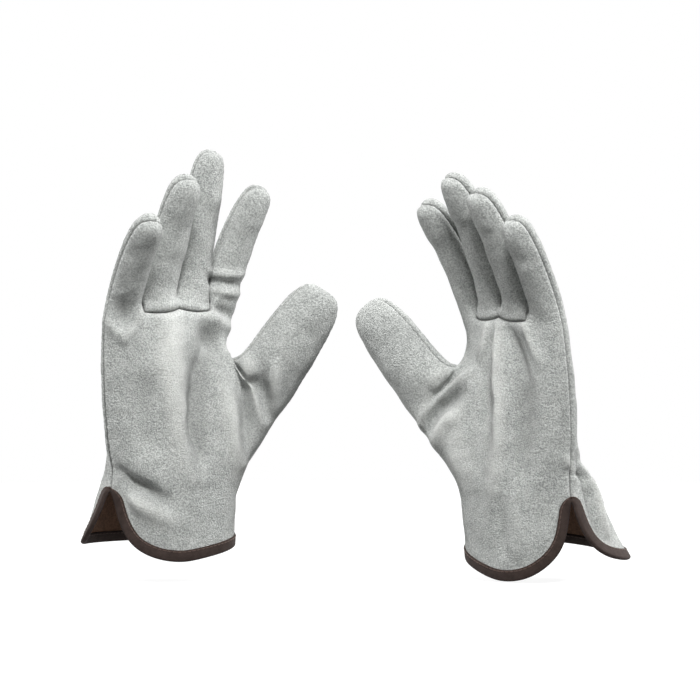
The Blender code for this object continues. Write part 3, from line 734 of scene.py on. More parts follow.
@lru_cache(maxsize=None)
def glove_surface(side):
    """The outer face of one glove's leather where it stands, with what its pieces need on each vertex.

    "inward" is the way into the leather, "groove" how deep in a seam a vertex lies and "rise" how far a
    fold lifts it.
    """
    look = bpy.context.scene.glove_leather
    shell = smooth_shell(side)
    borders = panel_borders(shell)
    points = np.array([v.co for v in shell.verts])
    normals = np.array([v.normal for v in shell.verts])
    distance, nearest, along = nearest_seams(shell, borders, points)
    share = np.clip(distance / SEAM_REACH, 0.0, 1.0) ** SEAM_CROWDING
    slide = (nearest - points) * (1.0 - share)[:, None]
    slide -= normals * np.sum(slide * normals, axis=1)[:, None]
    distance = distance * share
    groove = np.exp(-distance / look.groove_width)
    roll = distance / look.roll_width * np.exp(1.0 - distance / look.roll_width)
    pull = np.sin(2.0 * math.pi * along / PUCKER_PITCH) * np.exp(-((distance / PUCKER_REACH) ** 2))
    lines = [*FOLDS[side], *digit_folds(POSES[side])]
    folds = look.fold_strength * fold_heights(lines, points, normals) + gathers(points, normals)
    waves = unevenness(points)
    lift = look.roll_height * roll - look.groove_depth * groove + PUCKER_HEIGHT * pull
    free = smoothstep(0.0, SEAM_REACH, distance) * smoothstep(EDGE_STIFF, EDGE_FREE, edge_distance(shell))
    lift += (folds + waves) * free
    points = points + slide + normals * lift[:, None]
    turn, spot = stand(side)
    layers = shell.verts.layers
    inward = layers.float_vector.new("inward")
    groove_layer = layers.float.new("groove")
    rise_layer = layers.float.new("rise")
    for i, vert in enumerate(shell.verts):
        vert.co = turn @ Vector(points[i]) + spot
        vert[inward] = turn @ Vector(-normals[i])
        vert[groove_layer] = groove[i]
        vert[rise_layer] = (folds[i] + waves[i]) / look.fold_scale
    if SIDES[side] < 0.0:
        bmesh.ops.reverse_faces(shell, faces=shell.faces)
    shell.normal_update()
    return Surface(shell, borders, Matrix.Translation(spot) @ turn.to_4x4())


def border_chains(surface, *pairs):
    """The chains of vertices along the borders of some pairs of panels, taken together."""
    return chains([edge for pair in pairs for edge in surface.borders.get(frozenset(pair), ())])


def way_in(surface, vert):
    """The direction into the leather at a vertex."""
    return vert[surface.shell.verts.layers.float_vector["inward"]]


# Pieces and what they ride on


def add_piece(name, bm, finishes, node):
    """Makes a piece of a bmesh, which stands for a node of the construction."""
    mesh = bpy.data.meshes.new(name)
    bm.to_mesh(mesh)
    bm.free()
    for finish in finishes:
        mesh.materials.append(finish)
    piece = bpy.data.objects.new(name, mesh)
    bpy.context.scene.collection.objects.link(piece)
    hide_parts(node)
    return piece


@lru_cache(maxsize=None)
def digit_bend(side, digit):
    """The two points between which a digit's leather turns from the hand's motion to the digit's own."""
    surface = glove_surface(side)
    joint = next(j for j in frame["joints"] if j["name"] == f"{side}_{digit}_flex")
    hinge = Vector(joint["axis"]).normalized()
    line = centre_line(digit_bases()[digit], DIGITS[digit], POSES[side][digit], 0.0)
    axis = surface.place.to_3x3() @ line[3]
    climb = (axis - hinge * axis.dot(hinge)).normalized()
    own = {f"{digit}_front", f"{digit}_back"}
    rim = [
        vert.co
        for pair, edges in surface.borders.items()
        if len(pair & own) == 1
        for edge in edges
        for vert in edge.verts
    ]
    middle = sum(rim, Vector()) / len(rim)
    start = middle + climb * max((point - middle).dot(climb) for point in rim)
    return start, start + climb * (THUMB_BEND_LENGTH if digit == "thumb" else BEND_LENGTH)


def carry(piece, side, digit):
    """Lets a piece ride on its hand; a digit's piece has its bend found but is only baked where it stands.
    """
    if digit is None:
        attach(piece, f"{side}_hand")
    else:
        start, end = digit_bend(side, digit)
        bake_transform(piece)


def panel_digit(panel):
    """The digit that a panel belongs to, or None for the palm and the back."""
    return panel.split("_")[0] if "_" in panel else None


def leather_panel(surface, panel, thickness):
    """One leather panel as a closed sheet, cut from the glove's surface along its seams."""
    bm = surface.shell.copy()
    index = PANELS.index(panel)
    others = [face for face in bm.faces if face.material_index != index]
    bmesh.ops.delete(bm, geom=others, context="FACES")
    inward = bm.verts.layers.float_vector["inward"]
    for face in bm.faces:
        face.material_index = 0
        face.smooth = True
    for edge in bm.edges:
        edge.smooth = not edge.is_boundary
        edge.seam = False
    made = bmesh.ops.extrude_face_region(bm, geom=bm.faces[:], use_keep_orig=True)["geom"]
    for item in made:
        if isinstance(item, bmesh.types.BMVert):
            item.co += thickness * item[inward]
        elif isinstance(item, bmesh.types.BMFace):
            item.material_index = 1
    bmesh.ops.recalc_face_normals(bm, faces=bm.faces)
    return bm


# Sweeps along chains


def swept(sections, closed):
    """A closed section carried along a run of places."""
    bm = bmesh.new()
    ring = [bm.verts.new(point) for point in sections[0]]
    rings = [ring]
    strips = []
    for points in sections[1:]:
        ring, faces = extrude_ring(bm, ring, points)
        rings.append(ring)
        strips.append(faces)
    if closed:
        ends = ring_edges(bm, ring) + ring_edges(bm, rings[0])
        strips.append(bmesh.ops.bridge_loops(bm, edges=ends)["faces"])
    else:
        bm.faces.new(rings[0])
        bm.faces.new(ring)
    map_tape(bm, rings, strips, closed)
    for face in bm.faces:
        face.smooth = True
    bmesh.ops.recalc_face_normals(bm, faces=bm.faces)
    return bm


def map_tape(bm, rings, strips, closed):
    """Gives a sweep's faces a UV map of the run along it and the girth round it, in metres."""
    first = rings[0]
    runs = [0.0]
    for before, after in zip(rings, [*rings[1:], *([first] if closed else [])]):
        runs.append(runs[-1] + (after[0].co - before[0].co).length)
    girths = [0.0]
    for here, there in zip(first, [*first[1:], first[0]]):
        girths.append(girths[-1] + (there.co - here.co).length)
    spots = {vert: (i, k) for i, loop in enumerate(rings) for k, vert in enumerate(loop)}
    layer = bm.loops.layers.uv.new("tape")
    for i, faces in enumerate(strips):
        for face in faces:
            places = [spots[loop.vert] for loop in face.loops]
            wraps = {k for _, k in places} == {0, len(first) - 1}
            for loop, (row, k) in zip(face.loops, places):
                run = runs[i + 1] if row == 0 and i else runs[row]
                girth = girths[-1] if wraps and k == 0 else girths[k]
                loop[layer].uv = (run, girth)


def tube(points, radius, sides=6):
    """A thread as a fine tube through points."""
    sections = []
    for i, point in enumerate(points):
        ahead = points[min(i + 1, len(points) - 1)] - points[max(i - 1, 0)]
        if i == 0:
            across = ahead.orthogonal()
        else:
            across = across - ahead * across.dot(ahead) / ahead.dot(ahead)
        across = across.normalized()
        turn = Matrix.Rotation(2.0 * math.pi / sides, 3, ahead)
        spoke = across * radius
        ring = []
        for _ in range(sides):
            ring.append(point + spoke)
            spoke = turn @ spoke
        sections.append(ring)
    return swept(sections, closed=False)


def trimmed(points, margin):
    """A run of points with that much of its length taken off both ends."""
    for _ in range(2):
        cut = margin
        while cut > (points[1] - points[0]).length:
            cut -= (points[1] - points[0]).length
            points = points[1:]
        points = [points[0] + (points[1] - points[0]).normalized() * cut, *points[1:]]
        points = points[::-1]
    return points


JUST_SHORT = 0.999999  # keeps the last place of a run on its last stretch


def evenly(points, pitch, closed=False):
    """Places at an even pitch along a run of points, each as a point's number and the share to the next."""
    run = [*points, points[0]] if closed else points
    steps = [(b - a).length for a, b in zip(run, run[1:])]
    total = sum(steps)
    count = max(2, round(total / pitch))
    spots = []
    i, walked = 0, 0.0
    for k in range(count if closed else count + 1):
        goal = min(k * total / count, total * JUST_SHORT)
        while walked + steps[i] < goal:
            walked += steps[i]
            i += 1
        spots.append((i, (goal - walked) / steps[i]))
    return spots


def add_stitch(bm, start, end, radius):
    """One stitch of thread between two points, as a small rounded grain."""
    along = end - start
    scale = (radius, radius, along.length / 2.0 + radius)
    place = Matrix.LocRotScale((start + end) / 2.0, along.to_track_quat("Z", "Y"), scale)
    bmesh.ops.create_uvsphere(bm, u_segments=8, v_segments=6, radius=1.0, matrix=place)


# The cuff's tape

EdgeSpot = namedtuple("EdgeSpot", "place inside outward width")
TAPE_POINT_STEPS = 7  # over how many of the edge's vertices the tape runs out to the slit's point
TAPE_POINT_SHARE = 0.12  # the share of its width that is left there
TAPE_LIFT = 0.00003  # how far the tape stays off the leather
TAPE_NOSE = 0.0011  # how far its fold stands out past the leather's rim
TAPE_NOSE_TURNS = (60.0, 30.0, 0.0, -30.0, -60.0)

# One leaf of the tape: the share of the way from its upper edge to the rim, and the rise in thicknesses
TAPE_LEAF = ((0.0, 0.55), (0.08, 0.95), (0.5, 1.08), (1.0, 1.0))


def cuff_spots(surface, width):
    """What the tape needs to know at each vertex of the cuff's edge, hem and slit together."""
    shell = surface.shell
    chain = chains([edge for edge in shell.edges if edge.is_boundary])[0]
    count = len(chain)
    into_hand = surface.place.inverted()
    top = max(range(count), key=lambda i: (into_hand @ chain[i].co).z)
    spots = []
    for i, vert in enumerate(chain):
        along = (chain[(i + 1) % count].co - chain[i - 1].co).normalized()
        middles = [face.calc_center_median() for face in vert.link_faces]
        inside = sum(middles, Vector()) / len(middles) - vert.co
        inside = (inside - along * inside.dot(along)).normalized()
        steps = min((i - top) % count, (top - i) % count)
        narrow = TAPE_POINT_SHARE + (1.0 - TAPE_POINT_SHARE) * min(1.0, steps / TAPE_POINT_STEPS)
        spots.append(EdgeSpot(vert.co.copy(), inside, -way_in(surface, vert), width * narrow))
    return spots


def on_surface(tree, spot, inside):
    """The place on the leather at a distance inside the cuff's edge."""
    place, _, _, _ = tree.find_nearest(spot.place + spot.inside * inside)
    return place


def evened(rows, rounds):
    """Rows of points along a closed run, each drawn towards its neighbours that many times."""
    rows = np.array(rows)
    for _ in range(rounds):
        rows = (rows + (np.roll(rows, 1, axis=0) + np.roll(rows, -1, axis=0)) / 2.0) / 2.0
    return rows


def tape_section(spot, upper, leather, thickness):
    """The tape's section at one place: a U of woven tape folded over the leather's rim."""
    out = spot.outward
    nose = -spot.inside
    rim = spot.place - out * (leather / 2.0)
    reach_out = leather / 2.0 + thickness
    leaf = [(upper.lerp(spot.place, share), rise * thickness) for share, rise in TAPE_LEAF]
    points = [upper + out * TAPE_LIFT]
    points += [place + out * rise for place, rise in leaf]
    for turn in TAPE_NOSE_TURNS:
        swing = math.radians(turn)
        points.append(rim + nose * (TAPE_NOSE * math.cos(swing)) + out * (reach_out * math.sin(swing)))
    points += [place - out * (leather + rise) for place, rise in reversed(leaf)]
    points += [place - out * (leather + TAPE_LIFT) for place in (upper, spot.place)]
    points.append(spot.place + out * TAPE_LIFT)
    return points


# Materials


def new_group(name, inputs):
    """An empty shader node group that puts out a colour and a height, and its input and output nodes."""
    group = bpy.data.node_groups.new(name, "ShaderNodeTree")
    for label, kind, value in inputs:
        socket = group.interface.new_socket(label, in_out="INPUT", socket_type=kind)
        socket.default_value = value
    group.interface.new_socket("Color", in_out="OUTPUT", socket_type="NodeSocketColor")
    group.interface.new_socket("Height", in_out="OUTPUT", socket_type="NodeSocketFloat")
    entry = group.nodes.new("NodeGroupInput")
    leave = group.nodes.new("NodeGroupOutput")
    return group, entry, leave


def add_noise(tree, vector, scale, detail, roughness=0.6):
    """A noise over some coordinates, from 0 to 1."""
    node = tree.nodes.new("ShaderNodeTexNoise")
    node.inputs["Scale"].default_value = scale
    node.inputs["Detail"].default_value = detail
    node.inputs["Roughness"].default_value = roughness
    tree.links.new(vector, node.inputs["Vector"])
    return node.outputs["Fac"]


def add_math(tree, operation, first, second):
    """A maths node. Each operand is a socket or a number."""
    node = tree.nodes.new("ShaderNodeMath")
    node.operation = operation
    for slot, value in zip(node.inputs, (first, second)):
        if isinstance(value, (int, float)):
            slot.default_value = value
        else:
            tree.links.new(value, slot)
    return node.outputs[0]


def add_mix(tree, share, first, second, blend="MIX"):
    """A colour mix. Each operand is a socket or a value."""
    node = tree.nodes.new("ShaderNodeMix")
    node.data_type = "RGBA"
    node.blend_type = blend
    for slot, value in zip((node.inputs[0], node.inputs[6], node.inputs[7]), (share, first, second)):
        if isinstance(value, bpy.types.NodeSocket):
            tree.links.new(value, slot)
        else:
            slot.default_value = value
    return node.outputs[2]


def add_range(tree, value, low, high, to_low=0.0, to_high=1.0):
    """A value carried over from one range to another, and held at its ends."""
    node = tree.nodes.new("ShaderNodeMapRange")
    node.inputs["From Min"].default_value = low
    node.inputs["From Max"].default_value = high
    node.inputs["To Min"].default_value = to_low
    node.inputs["To Max"].default_value = to_high
    tree.links.new(value, node.inputs["Value"])
    return node.outputs["Result"]


@lru_cache(maxsize=None)
def nap_group():
    """Split leather's nap: clumps of fibre over broad, uneven dyeing."""
    inputs = (
        ("Light", "NodeSocketColor", (0.6, 0.6, 0.6, 1.0)),
        ("Dark", "NodeSocketColor", (0.3, 0.3, 0.3, 1.0)),
        ("Fibres per metre", "NodeSocketFloat", 1.0),
    )
    group, entry, leave = new_group("leather_nap", inputs)
    spot = group.nodes.new("ShaderNodeTexCoord").outputs["Object"]
    clump = group.nodes.new("ShaderNodeVectorMath")
    clump.operation = "SCALE"
    group.links.new(spot, clump.inputs[0])
    group.links.new(entry.outputs["Fibres per metre"], clump.inputs["Scale"])
    fine = add_noise(group, clump.outputs[0], scale=1.0, detail=3.0, roughness=0.7)
    finest = add_noise(group, clump.outputs[0], scale=2.3, detail=2.0)
    patches = add_noise(group, spot, scale=150.0, detail=3.0)
    clouds = add_noise(group, spot, scale=32.0, detail=3.0)
    tone = 0.0
    for pattern, low, high, weight in (
        (fine, 0.4, 0.6, 0.6),
        (patches, 0.3, 0.7, 0.2),
        (clouds, 0.3, 0.7, 0.2),
    ):
        part = add_math(group, "MULTIPLY", add_range(group, pattern, low, high), weight)
        tone = add_math(group, "ADD", tone, part)
    colour = add_mix(group, tone, entry.outputs["Dark"], entry.outputs["Light"])
    height = add_math(group, "ADD", fine, add_math(group, "MULTIPLY", finest, 0.5))
    group.links.new(colour, leave.inputs["Color"])
    group.links.new(height, leave.inputs["Height"])
    return group


@lru_cache(maxsize=None)
def weave_group():
    """Plain woven tape: threads along and across the tape's own map, with painted shade between them."""
    inputs = (
        ("Colour", "NodeSocketColor", (0.1, 0.1, 0.1, 1.0)),
        ("Threads per metre", "NodeSocketFloat", 1800.0),
    )
    group, entry, leave = new_group("tape_weave", inputs)
    where = group.nodes.new("ShaderNodeUVMap")
    where.uv_map = "tape"
    split = group.nodes.new("ShaderNodeSeparateXYZ")
    group.links.new(where.outputs["UV"], split.inputs[0])
    waves = []
    for axis in ("X", "Y"):
        turns = add_math(group, "MULTIPLY", split.outputs[axis], entry.outputs["Threads per metre"])
        waves.append(add_math(group, "SINE", add_math(group, "MULTIPLY", turns, math.pi), 0.0))
    over = add_math(group, "MULTIPLY", waves[0], waves[1])
    height = add_range(group, over, -1.0, 1.0)
    spot = group.nodes.new("ShaderNodeTexCoord").outputs["Object"]
    wear = add_noise(group, spot, scale=260.0, detail=4.0)
    # Painted shade: darker between the threads and paler on them, over the tape's uneven wear
    shade = add_math(group, "MULTIPLY", height, 0.45)
    shade = add_math(group, "ADD", shade, add_range(group, wear, 0.25, 0.75, 0.1, 0.9))
    # The shaded and the lit copies of the tape's colour
    dark = add_mix(group, 0.55, entry.outputs["Colour"], (0.0, 0.0, 0.0, 1.0))
    light = add_mix(group, 0.03, entry.outputs["Colour"], (0.6, 0.5, 0.45, 1.0))
    group.links.new(add_mix(group, shade, dark, light), leave.inputs["Color"])
    group.links.new(height, leave.inputs["Height"])
    return group


def new_material(name, roughness, sheen):
    """A material with its shader set to plain values, and its tree and shader."""
    made = bpy.data.materials.new(name)
    made.use_nodes = True
    shader = made.node_tree.nodes["Principled BSDF"]
    shader.inputs["Roughness"].default_value = roughness
    shader.inputs["Metallic"].default_value = 0.0
    shader.inputs["Specular IOR Level"].default_value = 0.2
    shader.inputs["Sheen Weight"].default_value = sheen
    shader.inputs["Sheen Roughness"].default_value = 0.45
    return made, made.node_tree, shader


def place_group(tree, group, values):
    """A group's node in a material, with its inputs set."""
    node = tree.nodes.new("ShaderNodeGroup")
    node.node_tree = group
    for label, value in values.items():
        node.inputs[label].default_value = value
    return node


def add_bump(tree, shader, height, strength, distance):
    """Relief on a shader from a height."""
    bump = tree.nodes.new("ShaderNodeBump")
    bump.inputs["Strength"].default_value = strength
    bump.inputs["Distance"].default_value = distance
    tree.links.new(height, bump.inputs["Height"])
    tree.links.new(bump.outputs["Normal"], shader.inputs["Normal"])


def with_alpha(colour):
    """A colour as a node's colour socket takes it."""
    return (*colour, 1.0)


def add_nap(tree, light, dark, fibres):
    """The nap between two colours, with so many fibres to a metre."""
    values = {"Light": with_alpha(light), "Dark": with_alpha(dark), "Fibres per metre": fibres}
    return place_group(tree, nap_group(), values)


# How the leather's colour changes: from which height of a fold, or depth in a seam, up to which, and from
# how much to how much of the other colour
Change = namedtuple("Change", "start full least most")
# A painted highlight on the folds' ridges, where the nap is also rubbed
RUBBED_AND_HIGHLIGHT = Change(0.1, 1.2, 0.0, 0.45)
# Painted shade deep in the folds' creases
FOLD_SHADE = Change(-0.25, -1.3, 0.0, 0.42)
# Painted shade down in the seams' grooves
SEAM_SHADE = Change(0.35, 1.0, 0.0, 0.8)


@lru_cache(maxsize=None)
def nap_leather():
    """The glove's outside: grey split leather, with painted highlight and shade on its folds and seams."""
    look = bpy.context.scene.glove_leather
    made, tree, shader = new_material("nap_leather", roughness=0.95, sheen=look.sheen)
    nap = add_nap(tree, look.light_colour, look.dark_colour, 1.0 / look.fibre_size)
    colour = nap.outputs["Color"]
    # Painted light: a highlight, with some rubbing, on the folds' ridges, and shade in their creases and
    # seams
    for attribute, change, other in (
        ("rise", RUBBED_AND_HIGHLIGHT, look.rubbed_and_highlight_colour),
        ("rise", FOLD_SHADE, look.fold_shade_colour),
        ("groove", SEAM_SHADE, look.seam_shade_colour),
    ):
        stored = tree.nodes.new("ShaderNodeAttribute")
        stored.attribute_name = attribute
        share = add_range(tree, stored.outputs["Fac"], *change)
        colour = add_mix(tree, share, colour, with_alpha(other))
    tree.links.new(colour, shader.inputs["Base Color"])
    add_bump(tree, shader, nap.outputs["Height"], look.nap_strength, look.fibre_size)
    return made


@lru_cache(maxsize=None)
def flesh_leather():
    """The glove's inside: undyed brown leather."""
    look = bpy.context.scene.glove_leather
    made, tree, shader = new_material("flesh_leather", roughness=0.9, sheen=0.1)
    colour = Vector(look.inside_colour)
    nap = add_nap(tree, colour * 1.25, colour * 0.6, 0.7 / look.fibre_size)
    tree.links.new(nap.outputs["Color"], shader.inputs["Base Color"])
    add_bump(tree, shader, nap.outputs["Height"], strength=0.5, distance=look.fibre_size)
    return made


@lru_cache(maxsize=None)
def woven_tape(name, colour, threads):
    """Woven tape of one colour, with so many threads to a metre."""
    made, tree, shader = new_material(name, roughness=0.85, sheen=0.03)
    weave = place_group(tree, weave_group(), {"Colour": with_alpha(colour), "Threads per metre": threads})
    tree.links.new(weave.outputs["Color"], shader.inputs["Base Color"])
    add_bump(tree, shader, weave.outputs["Height"], strength=0.6, distance=0.0003)
    return made


@lru_cache(maxsize=None)
def sewing_thread(name, colour):
    """Spun thread: fine fibres over an uneven dye."""
    made, tree, shader = new_material(name, roughness=0.6, sheen=0.1)
    shade = Vector(colour)
    nap = add_nap(tree, shade * 1.3, shade * 0.6, fibres=4500.0)
    tree.links.new(nap.outputs["Color"], shader.inputs["Base Color"])
    add_bump(tree, shader, nap.outputs["Height"], strength=0.4, distance=0.0001)
    return made


# Sizes and colours that a user would change


def length_property(name, description, default):
    return FloatProperty(name=name, description=description, default=default, unit="LENGTH")


def number_property(name, description, default):
    return FloatProperty(name=name, description=description, default=default)


def power_property(name, description, default):
    return FloatProperty(name=name, description=description, default=default, subtype="POWER")


def colour_property(name, description, default):
    return FloatVectorProperty(name=name, description=description, default=default, subtype="COLOR")


class LeatherLook(bpy.types.PropertyGroup):
    """Sizes and colours of the leather panels"""

    thickness: length_property("Thickness", "Thickness of the split leather", 0.0012)
    groove_depth: length_property("Groove depth", "How far a seam draws the leather in", 0.0018)
    groove_width: length_property("Groove width", "How fast the leather comes out of a seam", 0.0009)
    roll_height: length_property("Roll height", "How far the leather rolls up beside a seam", 0.0008)
    roll_width: length_property("Roll width", "How far from a seam that roll lies", 0.0022)
    fold_strength: number_property("Fold strength", "How deep the folds are beside their drawn heights", 2.1)
    # The fold scale also measures the folds for their painted highlight and painted shade
    fold_scale: length_property("Fold scale", "Height by which a fold's rubbing is measured", 0.0035)
    fibre_size: length_property("Fibre size", "Size of the nap's clumps of fibre", 0.0010)
    nap_strength: number_property("Nap", "Strength of the nap's relief", 1.3)
    sheen: number_property("Sheen", "Weight of the nap's sheen", 0.35)
    light_colour: colour_property("Light colour", "The nap's light fibres", (0.67, 0.69, 0.665))
    dark_colour: colour_property("Dark colour", "The nap's dark fibres", (0.21, 0.22, 0.213))
    # Painted light: a highlight, with rubbing, on fold ridges, and shade deep in fold creases and in seams
    rubbed_and_highlight_colour: colour_property("Rubbed colour", "Leather rubbed on the folds", (0.80, 0.81, 0.775))
    fold_shade_colour: colour_property("Sunk colour", "Leather deep in a fold", (0.19, 0.196, 0.188))
    seam_shade_colour: colour_property("Seam colour", "Leather deep in a seam", (0.09, 0.092, 0.085))
    inside_colour: colour_property("Inside colour", "The undyed inside", (0.25, 0.145, 0.095))


class TrimLook(bpy.types.PropertyGroup):
    """Sizes and colours of the tape, the threads and the elastic"""

    tape_width: length_property("Tape width", "How far the tape reaches in from the edge", 0.0058)
    tape_thickness: length_property("Tape thickness", "Thickness of the woven tape", 0.0009)
    stitch_pitch: length_property("Stitch pitch", "Distance from one stitch to the next", 0.0030)
    stitch_share: number_property("Stitch share", "Share of the pitch that shows", 0.7)
    thread_radius: length_property("Thread radius", "Radius of the sewing thread", 0.00032)
    elastic_width: length_property("Elastic width", "Width of the wrist's elastic", 0.008)
    elastic_thickness: length_property("Elastic thickness", "Thickness of the wrist's elastic", 0.001)
    tape_colour: colour_property("Tape colour", "The brown tape", (0.026, 0.015, 0.012))
    brown_thread_colour: colour_property("Brown thread", "Thread on the tape", (0.085, 0.055, 0.045))
    grey_thread_colour: colour_property("Grey thread", "Thread of the seams", (0.42, 0.43, 0.41))
    elastic_colour: colour_property("Elastic colour", "The wrist's elastic", (0.72, 0.71, 0.67))


class StageLook(bpy.types.PropertyGroup):
    """Light and backdrop"""

    front_power: power_property("Front light", "Power of the front light", 20.0)
    left_power: power_property("Left light", "Power of the light behind the left", 9.0)
    right_power: power_property("Right light", "Power of the light behind the right", 13.0)
    fill: number_property("Fill", "Strength of the even light all round", 0.15)
    paper_glow: number_property("Paper glow", "How far the paper is white whatever falls on it", 0.93)


# Operators: one for each group of pieces, and one for the stage


class GLOVES_OT_leather(bpy.types.Operator):
    """Cut the leather panels of both gloves"""

    bl_idname = "gloves.leather"
    bl_label = "Leather panels"

    def execute(self, context):
        look = context.scene.glove_leather
        for side in SIDES:
            surface = glove_surface(side)
            for panel in PANELS:
                bm = leather_panel(surface, panel, look.thickness)
                finishes = (nap_leather(), flesh_leather())
                piece = add_piece(f"{side}_{panel}_leather", bm, finishes, f"{side}_{panel}")
                carry(piece, side, panel_digit(panel))
        return {"FINISHED"}


class GLOVES_OT_tape(bpy.types.Operator):
    """Fold the brown tape over the cuffs' edges and stitch it down"""

    bl_idname = "gloves.tape"
    bl_label = "Cuff tape"

    threads_per_metre = 1900.0
    edge_rounds = 4
    section_rounds = 2
    stitch_lines = ((2, 3), (12, 11))  # the section's points beside the stitches, outside and inside
    stitch_drop = 0.25  # how far down from the first of them the stitches lie, as a share

    def execute(self, context):
        look = context.scene.glove_trim
        leather = context.scene.glove_leather.thickness
        for side in SIDES:
            surface = glove_surface(side)
            tree = BVHTree.FromBMesh(surface.shell)
            spots = cuff_spots(surface, look.tape_width)
            uppers = evened([on_surface(tree, s, s.width) for s in spots], self.edge_rounds)
            sections = [
                tape_section(spot, Vector(upper), leather, look.tape_thickness)
                for spot, upper in zip(spots, uppers)
            ]
            sections = [[Vector(p) for p in row] for row in evened(sections, self.section_rounds)]
            tape = woven_tape("brown_tape", tuple(look.tape_colour), self.threads_per_metre)
            bm = swept(sections, closed=True)
            piece = add_piece(f"{side}_cuff_tape", bm, (tape,), f"{side}_cuff_binding")
            carry(piece, side, None)
            stitches = self.stitches(sections, look)
            thread = sewing_thread("brown_sewing_thread", tuple(look.brown_thread_colour))
            name = f"{side}_tape_stitches"
            piece = add_piece(name, stitches, (thread,), f"{side}_binding_thread")
            carry(piece, side, None)
        return {"FINISHED"}

    def stitches(self, sections, look):
        """A row of stitches near the tape's upper edge, seen on its outside and on its inside."""
        bm = bmesh.new()
        for high, low in self.stitch_lines:
            line = [row[high].lerp(row[low], self.stitch_drop) for row in sections]
            spots = evenly(line, look.stitch_pitch, closed=True)
            count = len(line)
            middles = [line[i].lerp(line[(i + 1) % count], share) for i, share in spots]
            for k, middle in enumerate(middles):
                ahead = (middles[(k + 1) % len(middles)] - middles[k - 1]).normalized()
                half = ahead * (look.stitch_pitch * look.stitch_share / 2.0)
                add_stitch(bm, middle - half, middle + half, look.thread_radius)
        for face in bm.faces:
            face.smooth = True
        return bm


class GLOVES_OT_seam_threads(bpy.types.Operator):
    """Sew the threads inside the seams"""

    bl_idname = "gloves.seam_threads"
    bl_label = "Seam threads"

    end_margin = 0.003
    wave_height = 0.00035

    def execute(self, context):
        look = context.scene.glove_trim
        depth = context.scene.glove_leather.thickness + 2.0 * look.thread_radius
        for side in SIDES:
            surface = glove_surface(side)
            for digit in DIGITS:
                chain = border_chains(surface, (f"{digit}_front", f"{digit}_back"))[0]
                self.sew(surface, side, digit, digit, chain, depth, self.end_margin)
            side_seams = border_chains(surface, ("palm", "back"))
            named = {self.seam_name(surface, chain): chain for chain in side_seams}
            for name, chain in sorted(named.items()):
                margin = self.end_margin + (0.0 if name == "web" else look.tape_width)
                self.sew(surface, side, name, None, chain, depth, margin)
            insert = border_chains(surface, ("palm", "ring_front"), ("palm", "middle_front"))[0]
            self.sew(surface, side, "insert", None, insert, depth, self.end_margin)
        return {"FINISHED"}

    def seam_name(self, surface, chain):
        """Which of the hand's side seams a chain lies along."""
        points = [surface.place.inverted() @ vert.co for vert in chain]
        if points[0].x < 0.0:
            return "ulnar"
        low = min(point.z for point in points) < THUMB_ROOT_HEIGHT - self.end_margin
        return "radial" if low else "web"

    def sew(self, surface, side, name, digit, chain, depth, margin):
        """One seam's thread, which dips through the leather at every stitch."""
        look = bpy.context.scene.glove_trim
        points = []
        for i, vert in enumerate(chain):
            dip = self.wave_height * math.cos(math.pi * i)
            points.append(vert.co + way_in(surface, vert) * (depth + dip))
        bm = tube(trimmed(points, margin), look.thread_radius)
        thread = sewing_thread("grey_sewing_thread", tuple(look.grey_thread_colour))
        piece = add_piece(f"{side}_{name}_seam_thread", bm, (thread,), f"{side}_{name}_thread")
        carry(piece, side, digit)


class GLOVES_OT_elastic(bpy.types.Operator):
    """Sew the elastic tape inside the backs of the wrists"""

    bl_idname = "gloves.elastic"
    bl_label = "Wrist elastic"

    threads_per_metre = 1400.0
    leather_gap = 0.0003
    stitch_swing = 0.0016
    stitch_pitch = 0.0021
    stitch_rise = 0.6  # how far out of the leather a stitch's middle lies, in radii
    stitch_gap = 0.06  # the share of a stitch that is left open at each end

    def execute(self, context):
        look = context.scene.glove_trim
        near = context.scene.glove_leather.thickness + self.leather_gap
        far = near + look.elastic_thickness
        half = look.elastic_width / 2.0
        for side in SIDES:
            surface = glove_surface(side)
            line = chains([edge for edge in surface.shell.edges if edge.seam])[0]
            up = surface.place.to_3x3() @ Vector((0.0, 0.0, 1.0))
            profile = ((half, near), (half, far), (0.0, far), (-half, far), (-half, near), (0.0, near))
            sections = [
                [vert.co + up * rise + way_in(surface, vert) * depth for rise, depth in profile]
                for vert in line
            ]
            elastic = woven_tape("white_elastic", tuple(look.elastic_colour), self.threads_per_metre)
            bm = swept(sections, closed=False)
            name = f"{side}_wrist_elastic_tape"
            piece = add_piece(name, bm, (elastic,), f"{side}_wrist_elastic")
            carry(piece, side, None)
            thread = sewing_thread("grey_sewing_thread", tuple(look.grey_thread_colour))
            name = f"{side}_elastic_stitches"
            stitches = self.zigzag(surface, line, up, look.thread_radius)
            piece = add_piece(name, stitches, (thread,), f"{side}_elastic_thread")
            carry(piece, side, None)
        return {"FINISHED"}

    def zigzag(self, surface, line, up, radius):
        """The zigzag row of stitches that holds the elastic, on the outside of the back."""
        tree = BVHTree.FromBMesh(surface.shell)
        points = [vert.co for vert in line]
        corners = []
        for k, (i, share) in enumerate(evenly(points, self.stitch_pitch)):
            swing = self.stitch_swing if k % 2 else -self.stitch_swing
            middle = points[i].lerp(points[min(i + 1, len(points) - 1)], share)
            place, normal, _, _ = tree.find_nearest(middle + up * swing)
            corners.append(place + normal * radius * self.stitch_rise)
        bm = bmesh.new()
        for first, second in zip(corners, corners[1:]):
            start, end = first.lerp(second, self.stitch_gap), second.lerp(first, self.stitch_gap)
            add_stitch(bm, start, end, radius)
        for face in bm.faces:
            face.smooth = True
        return bm


def seen_directly(tree):
    """A mask that is 1 for what the camera sees, straight or in gloss or glass."""
    path = tree.nodes.new("ShaderNodeLightPath")
    seen = add_math(tree, "MAXIMUM", path.outputs["Is Camera Ray"], path.outputs["Is Glossy Ray"])
    return add_math(tree, "MAXIMUM", seen, path.outputs["Is Transmission Ray"])


